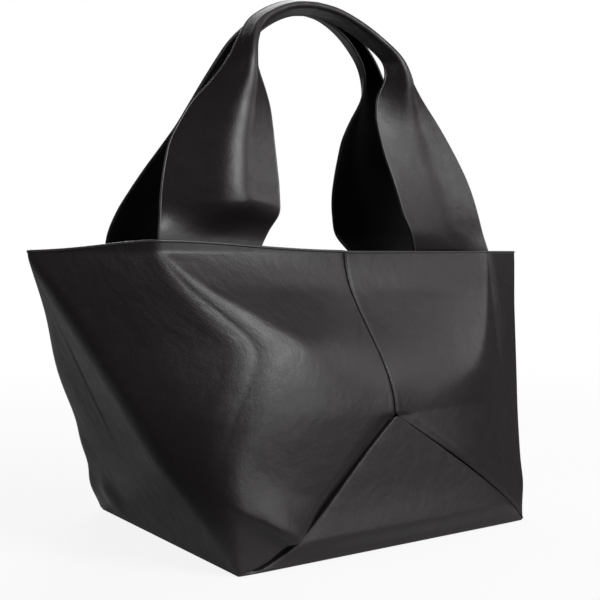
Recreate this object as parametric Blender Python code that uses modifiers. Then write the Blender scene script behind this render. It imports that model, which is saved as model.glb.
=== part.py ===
"""Leather shopping bag: a soft open tote on a flat base, with two wide shoulder handles.

Units are metres, +Z is up, and the origin is the middle of the base on the floor.
The bag is the same in both halves, so most pieces are made once and mirrored in X or Y.
"""

from math import cos, pi, sin

import bmesh
import bpy
from mathutils import Vector

# Body
BASE_WIDTH = 0.330            # across the front, corner to corner
BASE_DEPTH = 0.280            # front to back
BODY_HEIGHT = 0.267           # floor to rim
RIM_SPAN = 0.586              # side tip to side tip, before the tips are rounded
RIM_CORNER_WIDTH = 0.388      # across the front run of the rim, fold to fold
RIM_CORNER_DEPTH = 0.1164     # front fold to rear fold
RIM_SEAM_DEPTH = 0.1240       # front seam to rear seam, at the rim
APEX_HEIGHT = 0.1203          # where the centre seam meets the triangle of the base
APEX_DEPTH = 0.2794           # front apex to rear apex
CORNER_SOFTNESS = 0.010       # how far each fold is rounded along the wall
BASE_EDGE_RADIUS = 0.006      # the bend where the base turns up into its triangles

# Leather and inner pieces
PANEL_THICKNESS = 0.0018
BASE_SEAM_GAP = 0.0004        # between the base and what stands on its edge
CENTRE_SEAM_GAP = 0.0012      # between the side panels, whose backs lean toward each other
SEAM_STEP = 0.0017            # from the triangle's slanting edge up to the wall's, so their backs stay clear
CORNER_GAP = 0.0042           # the same step at the four corners of the base, where three edges meet
LAYER_GAP = 0.0006            # between layers that lie on each other
BOARD_THICKNESS = 0.0020
BOARD_MARGIN = 0.0060         # from the board's edge to the outside of the base
BOARD_CORNER_RADIUS = 0.012
FACING_HEIGHT = 0.035
FACING_THICKNESS = 0.0012
FACING_DROP = 0.0010          # how far the facing stops below the rim
TAPE_WIDTH = 0.020
TAPE_THICKNESS = 0.0010

# Handles
HANDLE_CENTRE = 0.1440        # from the middle of the bag to the middle of a leg, at the rim
HANDLE_FOOT_WIDTH = 0.101     # the strap's width where it meets the rim
HANDLE_BELLY_WIDTH = 0.115    # its widest, just above the rim
HANDLE_GRIP_WIDTH = 0.039     # its full width at the grip, measured round the fold
HANDLE_RISE = 0.2415          # rim to the middle of the grip
HANDLE_MEETING_GAP = 0.0024   # between the two grips, where they lean on each other
STRAP_THICKNESS = 0.0014
LINING_THICKNESS = 0.0010
STRAP_END_DEPTH = 0.028       # how far the sewn ends reach down inside the rim
STRAP_END_MARGIN = 0.0040     # how much narrower the sewn end is than the leg above it, at each side
HINGE_GAP = 0.0004            # between a leg and the rim or the sewn end under it

# A leg of a handle, from the rim to the middle of the grip. Each row holds:
# rise, of HANDLE_RISE; place, of HANDLE_CENTRE; width, from the grip (0) to the belly (1);
# spread, the straight width from edge to edge over the width round the fold;
# lean, of the way in from the rim to the other handle; twist, how far the inner edge stands
# out past the outer one, of the width; tilt, from a level section (0) to one square to the arch (1).
# The foot's width is its own value, so its row has none.
FRONT_LEG_SHARES = (
    (0.000, 1.000, None, 1.000, 0.000, 0.000, 0.0),
    (0.074, 0.962, 0.921, 0.991, 0.000, 0.110, 0.0),
    (0.156, 0.910, 0.993, 0.987, 0.030, 0.115, 0.0),
    (0.239, 0.882, 1.000, 0.980, 0.106, 0.113, 0.0),
    (0.321, 0.853, 0.980, 0.969, 0.214, 0.100, 0.0),
    (0.403, 0.816, 0.928, 0.959, 0.331, 0.090, 0.0),
    (0.486, 0.767, 0.822, 0.936, 0.412, 0.070, 0.0),
    (0.568, 0.715, 0.671, 0.900, 0.475, 0.045, 0.0),
    (0.650, 0.667, 0.434, 0.806, 0.493, 0.000, 0.0),
    (0.733, 0.639, 0.184, 0.642, 0.493, 0.000, 0.3),
    (0.815, 0.590, 0.053, 0.442, 0.610, 0.000, 0.8),
    (0.893, 0.486, 0.013, 0.370, 0.826, 0.000, 1.0),
    (0.951, 0.333, 0.000, 0.370, 0.925, 0.000, 1.0),
    (0.988, 0.167, 0.000, 0.370, 0.978, 0.000, 1.0),
    (1.000, 0.000, 0.000, 0.370, 1.000, 0.000, 1.0),
)
REAR_LEG_SHARES = (
    (0.000, 1.000, None, 1.000, 0.000, 0.000, 0.0),
    (0.074, 0.950, 1.000, 0.991, 0.000, 0.100, 0.0),
    (0.156, 0.900, 1.000, 0.988, 0.070, 0.110, 0.0),
    (0.239, 0.845, 0.961, 0.973, 0.196, 0.120, 0.0),
    (0.321, 0.794, 0.895, 0.944, 0.340, 0.120, 0.0),
    (0.403, 0.746, 0.803, 0.900, 0.484, 0.130, 0.0),
    (0.486, 0.702, 0.671, 0.856, 0.610, 0.130, 0.0),
    (0.568, 0.680, 0.513, 0.782, 0.718, 0.100, 0.0),
    (0.650, 0.668, 0.303, 0.677, 0.808, 0.070, 0.0),
    (0.733, 0.625, 0.132, 0.561, 0.871, 0.000, 0.3),
    (0.815, 0.552, 0.039, 0.452, 0.915, 0.000, 0.8),
    (0.893, 0.430, 0.013, 0.370, 0.951, 0.000, 1.0),
    (0.951, 0.295, 0.000, 0.370, 0.975, 0.000, 1.0),
    (0.988, 0.150, 0.000, 0.370, 0.990, 0.000, 1.0),
    (1.000, 0.000, 0.000, 0.370, 1.000, 0.000, 1.0),
)
FOLD_SHARE = 0.45             # the part of each half that bends where the strap is folded lengthwise
EDGE_ON_SHARE = 0.2           # of a full facing; a stretch turned further from the depth faces its fold instead

# Fineness
WALL_COLUMNS = 48
FRONT_COLUMN_SHARE = 0.25     # of the wall's columns, those between a centre seam and the front fold
WALL_ROWS = 12                # from the foot of the wall to the foot of the facing
BAND_ROWS = 3                 # from there to the rim, the same on the wall and on the facing
STRAP_ROWS = 40
STRAP_COLUMNS = 8
BOTTOM_COLUMNS = 6
TAPE_COLUMNS = 2
SAMPLES = 5                   # points averaged to round a fold

COLLECTION_NAME = "shopping_bag"


def mix(first, second, share):
    """The value, or point, that lies a share of the way from the first to the second."""
    return first + (second - first) * share


def clamp(value, low, high):
    return max(low, min(high, value))


def ease(share):
    """A smooth step from 0 to 1."""
    share = clamp(share, 0.0, 1.0)
    return share * share * (3.0 - 2.0 * share)


def clear_scene():
    for thing in list(bpy.data.objects):
        bpy.data.objects.remove(thing, do_unlink=True)


def make_collection(name):
    collection = bpy.data.collections.new(name)
    bpy.context.scene.collection.children.link(collection)
    return collection


def make_material(name, colour, roughness):
    material = bpy.data.materials.new(name)
    material.use_nodes = True
    shader = material.node_tree.nodes["Principled BSDF"]
    shader.inputs["Base Color"].default_value = (*colour, 1.0)
    shader.inputs["Roughness"].default_value = roughness
    shader.inputs["Metallic"].default_value = 0.0
    material.diffuse_color = (*colour, 1.0)
    return material


def make_object(name, mesh, collection, material):
    item = bpy.data.objects.new(name, mesh)
    collection.objects.link(item)
    mesh.materials.append(material)
    return item


def make_sheet(name, columns, rows, place, thickness, collection, material):
    """A leather sheet: a flat grid whose points are moved by place(across, up), then made thick.

    The grid's face side is the outside, and the thickness goes inward from it.
    """
    bm = bmesh.new()
    bmesh.ops.create_grid(bm, x_segments=columns, y_segments=rows, size=0.5)
    for vertex in bm.verts:
        vertex.co = place(vertex.co.x + 0.5, vertex.co.y + 0.5)
    mesh = bpy.data.meshes.new(name)
    bm.to_mesh(mesh)
    bm.free()
    mesh.shade_smooth()
    item = make_object(name, mesh, collection, material)
    solid = item.modifiers.new("thickness", "SOLIDIFY")
    solid.thickness = thickness
    solid.offset = -1.0
    solid.use_even_offset = True
    return item


# The body's wall

def seam_half_depth(height):
    """Half the depth on the centre seam: upright to the apex, then an S-curve in to the rim."""
    if height < APEX_HEIGHT:
        return mix(BASE_DEPTH, APEX_DEPTH, height / APEX_HEIGHT) / 2
    rise = (height - APEX_HEIGHT) / (BODY_HEIGHT - APEX_HEIGHT)
    return mix(RIM_SEAM_DEPTH, APEX_DEPTH, (1 + cos(pi * rise)) / 2) / 2


def front_fold(height):
    """The fold between the front and the end, from the base corner to the handle's outer edge."""
    share = height / BODY_HEIGHT
    return Vector((mix(BASE_WIDTH, RIM_CORNER_WIDTH, share), -mix(BASE_DEPTH, RIM_CORNER_DEPTH, share))) / 2


def end_fold(height):
    """The fold from the base corner up to the side tip."""
    share = height / BODY_HEIGHT
    return Vector((mix(BASE_WIDTH, RIM_SPAN, share), -mix(BASE_DEPTH, 0.0, share))) / 2


def seam_start(height):
    """Where the wall starts at this height: on the triangle's seam, or on the centre seam above it."""
    across = BASE_WIDTH / 2 * max(0.0, 1.0 - height / APEX_HEIGHT)
    return Vector((across, -seam_half_depth(height)))


def wall_path(height):
    """The right half of the wall in plan, from the front seam round the end to the rear seam."""
    front = [seam_start(height), front_fold(height), end_fold(height)]
    return front + [Vector((point.x, -point.y)) for point in reversed(front)]


def path_lengths(path):
    lengths = [0.0]
    for start, end in zip(path, path[1:]):
        lengths.append(lengths[-1] + (end - start).length)
    return lengths


def point_on_path(path, lengths, distance):
    for index in range(len(path) - 1):
        if distance <= lengths[index + 1] or index == len(path) - 2:
            run = lengths[index + 1] - lengths[index]
            share = (distance - lengths[index]) / run if run > 0 else 0.0
            return mix(path[index], path[index + 1], clamp(share, 0.0, 1.0))


def soft_point(path, lengths, distance):
    """A point of the path with its corners rounded: the mean of the points around it."""
    reach = min(CORNER_SOFTNESS, distance, lengths[-1] - distance)
    total = Vector((0.0, 0.0))
    for index in range(SAMPLES):
        total += point_on_path(path, lengths, distance + reach * mix(-1.0, 1.0, index / (SAMPLES - 1)))
    return total / SAMPLES


def wall_distance(path, lengths, turn):
    """How far along the path the wall's column at this turn lies, from 0 at the front seam to 1."""
    if turn > 0.5:
        return lengths[-1] - wall_distance(path, lengths, 1.0 - turn)
    if turn < FRONT_COLUMN_SHARE:
        across = path[1].x * turn / FRONT_COLUMN_SHARE
        run = path[1].x - path[0].x
        share = (across - path[0].x) / run if run > 0 else 1.0
        return lengths[1] * clamp(share, 0.0, 1.0)
    share = (turn - FRONT_COLUMN_SHARE) / (0.5 - FRONT_COLUMN_SHARE)
    return mix(lengths[1], lengths[-1] / 2, share)


def wall_surface(turn, height):
    """A point on the outside of the right half of the wall."""
    path = wall_path(height)
    lengths = path_lengths(path)
    place = soft_point(path, lengths, wall_distance(path, lengths, turn))
    return Vector((place.x, place.y, height))


def wall_point(turn, height, depth):
    """A point of the right half of the wall, moved in from the outside by depth."""
    here = wall_surface(turn, height)
    if depth == 0.0:
        return here
    side_step = FRONT_COLUMN_SHARE / WALL_COLUMNS
    height_step = CORNER_SOFTNESS / SAMPLES
    across = wall_surface(min(1.0, turn + side_step), height) - wall_surface(max(0.0, turn - side_step), height)
    up = wall_surface(turn, min(BODY_HEIGHT, height + height_step)) - wall_surface(turn, height - height_step)
    return here - across.cross(up).normalized() * depth


def wall_foot(turn):
    """The height of the wall's lower edge at this turn: on the triangle's seam, or on the base."""
    turn = min(turn, 1.0 - turn)
    across = min(1.0, turn / FRONT_COLUMN_SHARE)
    spread = (RIM_CORNER_WIDTH - BASE_WIDTH) / 2 / BODY_HEIGHT
    slope = BASE_WIDTH / 2 / APEX_HEIGHT + spread * across
    seam = BASE_WIDTH / 2 * (1.0 - across) / slope
    if turn > FRONT_COLUMN_SHARE:
        return PANEL_THICKNESS + BASE_SEAM_GAP
    return seam + mix(SEAM_STEP, CORNER_GAP, across ** 4)


def facing_foot():
    return BODY_HEIGHT - FACING_DROP - FACING_HEIGHT


def wall_height(turn, row):
    """The height of a row of the wall: evenly up to the facing, then evenly up to the rim."""
    if row <= WALL_ROWS:
        return mix(wall_foot(turn), facing_foot(), row / WALL_ROWS)
    return mix(facing_foot(), BODY_HEIGHT, (row - WALL_ROWS) / BAND_ROWS)


def make_side_panel(name, side, collection, material):
    """One end of the bag with half of the front and half of the back."""
    rows = WALL_ROWS + BAND_ROWS

    def place(across, up):
        turn = across if side > 0 else 1.0 - across
        point = wall_point(turn, wall_height(turn, round(up * rows)), 0.0)
        return Vector((max(point.x, CENTRE_SEAM_GAP / 2) * side, point.y, point.z))
    return make_sheet(name, WALL_COLUMNS, rows, place, PANEL_THICKNESS, collection, material)


def bottom_profile():
    """Half of the bottom panel's profile: along the base, round its edge and up to the apex."""
    edge = BASE_DEPTH / 2
    centre = Vector((edge - BASE_EDGE_RADIUS, BASE_EDGE_RADIUS))
    points = [Vector((0.0, 0.0)), Vector((edge / 2, 0.0))]
    for index in range(SAMPLES):
        angle = pi / 2 * index / (SAMPLES - 1)
        points.append(centre + BASE_EDGE_RADIUS * Vector((sin(angle), -cos(angle))))
    for index in range(1, SAMPLES):
        height = mix(BASE_EDGE_RADIUS, APEX_HEIGHT, index / (SAMPLES - 1))
        points.append(Vector((seam_half_depth(height), height)))
    return points


def make_bottom_panel(collection, material):
    """The base with the triangle that rises at the front and the one at the back."""
    half = bottom_profile()
    profile = [Vector((-point.x, point.y)) for point in reversed(half[1:])] + half
    rows = len(profile) - 1

    def place(across, up):
        depth, height = profile[round(up * rows)]
        half_width = BASE_WIDTH / 2 * (1.0 - height / APEX_HEIGHT)
        half_width = max(half_width - BASE_SEAM_GAP, BASE_SEAM_GAP)
        return Vector((mix(half_width, -half_width, across), depth, height))
    return make_sheet("bottom_panel", BOTTOM_COLUMNS, rows, place, PANEL_THICKNESS, collection, material)


def make_base_board(collection, material):
    """The stiff board that lies on the base inside the bag."""
    width = BASE_WIDTH / 2 - BOARD_MARGIN
    depth = BASE_DEPTH / 2 - BOARD_MARGIN
    curve = bpy.data.curves.new("base_board", "CURVE")
    curve.dimensions = "2D"
    curve.fill_mode = "BOTH"
    curve.extrude = BOARD_THICKNESS / 2
    outline = curve.splines.new("POLY")
    points = []
    for corner, (side_x, side_y) in enumerate(((1, 1), (-1, 1), (-1, -1), (1, -1))):
        for index in range(SAMPLES):
            angle = pi / 2 * (corner + index / (SAMPLES - 1))
            points.append((side_x * (width - BOARD_CORNER_RADIUS) + BOARD_CORNER_RADIUS * cos(angle),
                           side_y * (depth - BOARD_CORNER_RADIUS) + BOARD_CORNER_RADIUS * sin(angle)))
    outline.points.add(len(points) - 1)
    for spot, (x, y) in zip(outline.points, points):
        spot.co = (x, y, 0.0, 1.0)
    outline.use_cyclic_u = True
    item = bpy.data.objects.new("base_board", curve)
    collection.objects.link(item)
    curve.materials.append(material)
    item.location.z = PANEL_THICKNESS + LAYER_GAP + BOARD_THICKNESS / 2
    return item


# Pieces inside the rim

def turn_at(across, height):
    """The wall's turn at a distance from the middle of the front, on the front run."""
    return FRONT_COLUMN_SHARE * across / front_fold(height).x


def strap_layer_depth(across):
    """How far in the facing lies: behind the strap ends where they are, close to the wall elsewhere."""
    half_foot = HANDLE_FOOT_WIDTH / 2
    beyond = abs(across - HANDLE_CENTRE) - half_foot
    covered = 1.0 - ease(beyond / (half_foot / 2))
    strap_layer = STRAP_THICKNESS + LINING_THICKNESS + LAYER_GAP
    return PANEL_THICKNESS + LAYER_GAP + strap_layer * covered


def make_rim_facing(name, side, collection, material):
    """The leather band inside the rim, which stops one column short of each side tip."""
    reach = 0.5 - 1.0 / WALL_COLUMNS
    columns = WALL_COLUMNS - 2

    def place(across, up):
        turn = mix(-reach, reach, across) * side
        height = mix(facing_foot(), BODY_HEIGHT - FACING_DROP, up)
        outside = wall_point(abs(turn), height, 0.0)
        point = wall_point(abs(turn), height, strap_layer_depth(outside.x))
        return Vector((point.x if turn > 0 else -point.x, point.y * side, point.z))
    return make_sheet(name, columns, BAND_ROWS, place, FACING_THICKNESS, collection, material)


def make_strap_end(name, side_x, side_y, collection, material):
    """The end of a handle, sewn between the wall and the facing."""
    half_width = HANDLE_FOOT_WIDTH / 2 - STRAP_END_MARGIN
    same = side_x * side_y > 0

    def place(across, up):
        reach = mix(-half_width, half_width, across if same else 1.0 - across)
        height = mix(BODY_HEIGHT - STRAP_END_DEPTH, BODY_HEIGHT - HINGE_GAP, up)
        turn = turn_at(HANDLE_CENTRE + reach, height)
        point = wall_point(turn, height, PANEL_THICKNESS + LAYER_GAP)
        return Vector((point.x * side_x, point.y * side_y, point.z))
    thickness = STRAP_THICKNESS + LINING_THICKNESS
    return make_sheet(name, STRAP_COLUMNS, BAND_ROWS, place, thickness, collection, material)


def make_seam_tape(name, side, collection, material):
    """The strip behind a centre seam, from one row above the apex up to the facing."""
    rows = WALL_ROWS - 1

    def place(across, up):
        reach = mix(-TAPE_WIDTH, TAPE_WIDTH, across) / 2 * side
        height = wall_height(0.0, 1 + up * rows) - LAYER_GAP * up
        point = wall_point(turn_at(abs(reach), height), height, PANEL_THICKNESS + 2 * LAYER_GAP)
        return Vector((reach, point.y * side, point.z))
    return make_sheet(name, TAPE_COLUMNS, rows, place, TAPE_THICKNESS, collection, material)


# Handles

def smooth_row(rows, share):
    """A row of the leg's table at a share of its length, on a smooth curve through the rows."""
    spot = clamp(share, 0.0, 1.0) * (len(rows) - 1)
    index = min(int(spot), len(rows) - 2)
    step = spot - index
    before, start, end = rows[max(index - 1, 0)], rows[index], rows[index + 1]
    after = rows[min(index + 2, len(rows) - 1)]
    values = []
    for a, b, c, d in zip(before, start, end, after):
        values.append(0.5 * (2 * b + (c - a) * step + (2 * a - 5 * b + 4 * c - d) * step ** 2
                             + (3 * b - a - 3 * c + d) * step ** 3))
    return values


def leg_rows(shares):
    """A leg's table in real sizes: height, place, half width, spread, edge, twist and tilt."""
    rim_face = RIM_CORNER_DEPTH / 2 - PANEL_THICKNESS - LAYER_GAP
    rows = []
    for rise, place, width, spread, lean, twist, tilt in shares:
        full = HANDLE_FOOT_WIDTH if width is None else mix(HANDLE_GRIP_WIDTH, HANDLE_BELLY_WIDTH, width)
        edge = mix(rim_face, HANDLE_MEETING_GAP / 2, lean)
        height = BODY_HEIGHT + HINGE_GAP + HANDLE_RISE * rise
        rows.append((height, HANDLE_CENTRE * place, full / 2, spread, edge, twist, tilt))
    return rows


def fold_section(half_width, spread, count):
    """Half of a strap's section, from the fold out to the edge, as (out, back) points.

    The strap turns by the same angle on both sides of its fold, until its edges stand
    as far apart as the spread says.
    """
    def walk(angle):
        points = [Vector((0.0, 0.0))]
        bend = FOLD_SHARE * half_width
        fine = count * SAMPLES
        place = Vector((0.0, 0.0))
        for index in range(fine):
            length = half_width * (index + 0.5) / fine
            heading = angle * min(1.0, length / bend)
            place = place + Vector((cos(heading), sin(heading))) * half_width / fine
            if (index + 1) % SAMPLES == 0:
                points.append(place)
        return points
    low, high = 0.0, pi / 2
    for _ in range(24):
        middle = (low + high) / 2
        if walk(middle)[-1].x > half_width * spread:
            low = middle
        else:
            high = middle
    return walk((low + high) / 2)


def handle_section(rows, along, depth):
    """The points across the handle at a share of its arch, outer edge first."""
    leg = 1.0 - abs(2.0 * along - 1.0)
    side = -1.0 if along < 0.5 else 1.0
    step = 0.25 / len(rows)
    height, place, half_width, spread, edge, twist, tilt = smooth_row(rows, leg)
    low = smooth_row(rows, max(0.0, leg - step))
    high = smooth_row(rows, min(1.0, leg + step))
    tangent = Vector((high[1] - low[1], high[0] - low[0])).normalized()
    if leg >= 1.0:
        tangent = Vector((-1.0, 0.0))
    tangent = mix(Vector((0.0, 1.0)), tangent, tilt).normalized()
    half = fold_section(half_width, spread, STRAP_COLUMNS // 2)
    back = half[-1].y
    points = [Vector((out, behind)) for out, behind in reversed(half)]
    points += [Vector((-out, behind)) for out, behind in half[1:]]
    section = []
    for out, behind in points:
        depth_here = behind - back - edge + twist * out
        section.append(Vector((side * (place + tangent.y * out), depth_here, height - tangent.x * out)))
    return inset(section, depth) if depth > 0.0 else section


def inset(section, depth):
    """The section moved in from its outer face, toward the inside of the fold."""
    moved = []
    middle = (section[0] + section[-1]) / 2
    for index, point in enumerate(section):
        before = section[max(index - 1, 0)]
        after = section[min(index + 1, len(section) - 1)]
        along = (after - before).normalized()
        across = Vector((0.0, 1.0, 0.0)) - along * along.y
        if across.length < EDGE_ON_SHARE:
            across = middle - point - along * (middle - point).dot(along)
        moved.append(point + across.normalized() * depth)
    return moved


def make_handle_layer(name, side, depth, thickness, collection, material):
    """One layer of a handle: an arch of strap from one foot to the other."""
    rows = leg_rows(FRONT_LEG_SHARES if side > 0 else REAR_LEG_SHARES)
    sections = [handle_section(rows, index / STRAP_ROWS, depth) for index in range(STRAP_ROWS + 1)]

    def place(across, up):
        column = round(across * STRAP_COLUMNS)
        if side < 0:
            column = STRAP_COLUMNS - column
        point = sections[round(up * STRAP_ROWS)][column]
        hinge = Vector((0.0, -RIM_CORNER_DEPTH / 2, BODY_HEIGHT))
        moved = point - hinge
        return Vector((moved.x, moved.y * side, moved.z))
    item = make_sheet(name, STRAP_COLUMNS, STRAP_ROWS, place, thickness, collection, material)
    item.location = (0.0, -RIM_CORNER_DEPTH / 2 * side, BODY_HEIGHT)
    return item


def main():
    clear_scene()
    collection = make_collection(COLLECTION_NAME)

    make_side_panel("left_side_panel", -1, collection,
                    make_material("left_panel_leather", (0.030, 0.028, 0.029), 0.42))
    make_side_panel("right_side_panel", 1, collection,
                    make_material("right_panel_leather", (0.034, 0.032, 0.033), 0.42))
    make_bottom_panel(collection, make_material("bottom_leather", (0.026, 0.025, 0.026), 0.45))
    make_base_board(collection, make_material("board", (0.060, 0.055, 0.050), 0.80))

    for name, side in (("front", 1), ("rear", -1)):
        make_rim_facing(name + "_rim_facing", side, collection,
                        make_material(name + "_facing_leather", (0.022, 0.020, 0.020), 0.55))
        make_seam_tape(name + "_seam_tape", side, collection,
                       make_material(name + "_tape", (0.018, 0.017, 0.017), 0.70))
        make_handle_layer(name + "_handle_strap", side, 0.0, STRAP_THICKNESS, collection,
                          make_material(name + "_strap_leather", (0.032, 0.030, 0.031), 0.42))
        make_handle_layer(name + "_handle_lining", side, STRAP_THICKNESS + LAYER_GAP, LINING_THICKNESS, collection,
                          make_material(name + "_strap_lining", (0.008, 0.007, 0.007), 0.75))
        for hand, side_x in (("left", -1), ("right", 1)):
            make_strap_end(name + "_" + hand + "_strap_end", side_x, side, collection,
                           make_material(name + "_" + hand + "_end_leather", (0.020, 0.019, 0.019), 0.60))


main()
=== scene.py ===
# %% [markdown]
# # A soft leather shopping bag
# This lesson dresses a plain model of a leather tote bag, so that it looks like the real one. The plain
# model comes from the bag's construction: every piece is there at its true size, but flat and bare. We
# load it as a frame that must not move, and then make the supple leather, the seams, the threads and the
# painted edges that fit round it.
#
# ## The frame
# The frame is loaded first.

# %% Load the frame
from functools import lru_cache
from math import cos, exp, pi, radians, sin

import bmesh
import bpy
from mathutils import Matrix, Vector


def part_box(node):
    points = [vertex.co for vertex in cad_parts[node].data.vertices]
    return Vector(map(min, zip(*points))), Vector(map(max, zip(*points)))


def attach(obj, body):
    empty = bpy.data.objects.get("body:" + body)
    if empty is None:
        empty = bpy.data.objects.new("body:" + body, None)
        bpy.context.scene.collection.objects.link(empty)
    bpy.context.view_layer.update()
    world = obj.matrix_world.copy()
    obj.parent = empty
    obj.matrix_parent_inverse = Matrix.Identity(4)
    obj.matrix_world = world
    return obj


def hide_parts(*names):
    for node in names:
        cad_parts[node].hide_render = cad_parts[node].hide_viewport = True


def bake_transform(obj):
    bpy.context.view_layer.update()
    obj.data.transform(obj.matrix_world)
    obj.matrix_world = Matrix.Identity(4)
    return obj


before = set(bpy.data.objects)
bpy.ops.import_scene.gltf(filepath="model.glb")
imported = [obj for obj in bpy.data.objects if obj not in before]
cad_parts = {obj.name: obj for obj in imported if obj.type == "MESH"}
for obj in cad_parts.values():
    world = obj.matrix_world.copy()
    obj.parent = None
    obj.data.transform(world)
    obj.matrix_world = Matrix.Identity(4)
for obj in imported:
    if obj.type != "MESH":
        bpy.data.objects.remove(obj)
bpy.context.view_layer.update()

# %% [markdown]
# ## The camera
# A camera is worth placing before anything is modelled, because every shape is judged through it. This
# one stands to the left of the bag's front, a metre away, at the height of the rim, and looks very
# slightly down. Its lens was worked out from the way the bag's edges run together.

# %% Camera
CAMERA_PLACE = Vector((-0.5997, -0.8670, 0.2669))
CAMERA_AZIMUTH = radians(-34.23)
CAMERA_ELEVATION = radians(2.62)
CAMERA_LENS = 62.82            # millimetres, on a sensor 36 mm wide


def place_camera():
    camera = bpy.data.objects.new("camera", bpy.data.cameras.new("camera"))
    bpy.context.scene.collection.objects.link(camera)
    back = Vector((sin(CAMERA_AZIMUTH) * cos(CAMERA_ELEVATION),
                   -cos(CAMERA_AZIMUTH) * cos(CAMERA_ELEVATION),
                   sin(CAMERA_ELEVATION)))
    camera.location = CAMERA_PLACE
    camera.rotation_euler = (-back).to_track_quat("-Z", "Y").to_euler()
    camera.data.lens = CAMERA_LENS
    bpy.context.scene.camera = camera
    return camera


print("camera at", place_camera().location)

# %% [markdown]
# ## Small helpers for numbers
# Three little functions do most of the sums: a mix of two values, a clamp, and a smooth step that starts
# and ends gently. A fourth one rounds a corner: it is the distance gone past the corner, with a parabola
# in place of the kink.

# %% Number helpers
def mix(first, second, share):
    """The value, or point, that lies a share of the way from the first to the second."""
    return first + (second - first) * share


def clamp(value, low=0.0, high=1.0):
    return max(low, min(high, value))


def ease(share):
    """A smooth step from 0 to 1."""
    share = clamp(share)
    return share * share * (3.0 - 2.0 * share)


def soft_past(past, softness):
    """The distance past a corner: 0 before it and growing after it, rounded within the softness."""
    if abs(past) >= softness:
        return max(0.0, past)
    return (past + softness) ** 2 / (4.0 * softness)


def soft_passed(past, softness):
    """The slope of soft_past, from 0 before the corner to 1 after it."""
    if abs(past) >= softness:
        return 1.0 if past > 0.0 else 0.0
    return (past + softness) / (2.0 * softness)


print("halfway through a soft corner:", soft_past(0.0, 0.01))

# %% [markdown]
# ## Materials from sums
# A material's nodes can be wired one by one, but a sum is easier to read. The class Wire wraps a node's
# output, and gives it +, - and *, so that an expression adds its own Math nodes. Every other node comes
# from one method, which takes the node's type, its settings and what goes into its sockets. The air round
# the bag has nodes too, so the same class makes it.

# %% Node helpers
class Wire:
    """The output of a node, which can be used in a sum."""

    def __init__(self, finish, socket):
        self.finish = finish
        self.socket = socket

    def math(self, operation, first, second):
        return self.finish.node("Math", {"operation": operation}, {0: first, 1: second})

    def __add__(self, other):
        return self.math("ADD", self, other)

    def __radd__(self, other):
        return self.math("ADD", other, self)

    def __sub__(self, other):
        return self.math("SUBTRACT", self, other)

    def __rsub__(self, other):
        return self.math("SUBTRACT", other, self)

    def __mul__(self, other):
        return self.math("MULTIPLY", self, other)

    def __rmul__(self, other):
        return self.math("MULTIPLY", other, self)


class Finish:
    """A material in the making, or the scene's air, with its shader."""

    def __init__(self, name, kind="materials", shader="Principled BSDF"):
        self.owner = getattr(bpy.data, kind).new(name)
        self.owner.use_nodes = True
        self.tree = self.owner.node_tree
        self.shader = self.tree.nodes[shader]

    def plug(self, socket, value):
        if isinstance(value, Wire):
            self.tree.links.new(value.socket, socket)
        else:
            socket.default_value = value

    def node(self, kind, settings=None, sockets=None, output=0):
        """Adds a node: its settings are set first, then its sockets are filled or linked."""
        made = self.tree.nodes.new("ShaderNode" + kind)
        for name, value in (settings or {}).items():
            setattr(made, name, value)
        for name, value in (sockets or {}).items():
            self.plug(made.inputs[name], value)
        return Wire(self, made.outputs[output])

    def mix_colours(self, share, first, second):
        """The colour that lies a share of the way from the first to the second."""
        ends = [colour if isinstance(colour, Wire) else (*colour, 1.0) for colour in (first, second)]
        return self.node("Mix", {"data_type": "RGBA"}, {0: share, 6: ends[0], 7: ends[1]}, output=2)

    def set(self, **values):
        """Fills or links sockets of the shader: base_color for Base Color, and so on."""
        for name, value in values.items():
            self.plug(self.shader.inputs[name.replace("_", " ").title().replace("Ior", "IOR")], value)
        return self


print("nodes are added by", Finish.node.__name__, "and summed by", Wire.__name__)

# %% [markdown]
# ## Black calf leather
# Smooth black leather is not one flat colour. It has a fine pebbled grain, about a millimetre across,
# that breaks up the highlights. Over that lie soft clouds a centimetre or two wide, where the hide took
# more or less polish. The grain is a cell pattern and the clouds are noise. Both are read from the
# sheet's own map, which is laid out in metres, so the grain stays in the leather when a handle bends. The
# colour is darker in the valleys of the grain: a painted shade.

# %% Leather
GRAIN_SIZE = 0.0011            # metres from pebble to pebble
GRAIN_DEPTH = 0.00010
CLOUD_SIZE = 0.016
CLOUD_DEPTH = 0.0008
VALLEY_SHADE = 0.55            # the painted shade in the grain's valleys, as a share of the full colour


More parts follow.
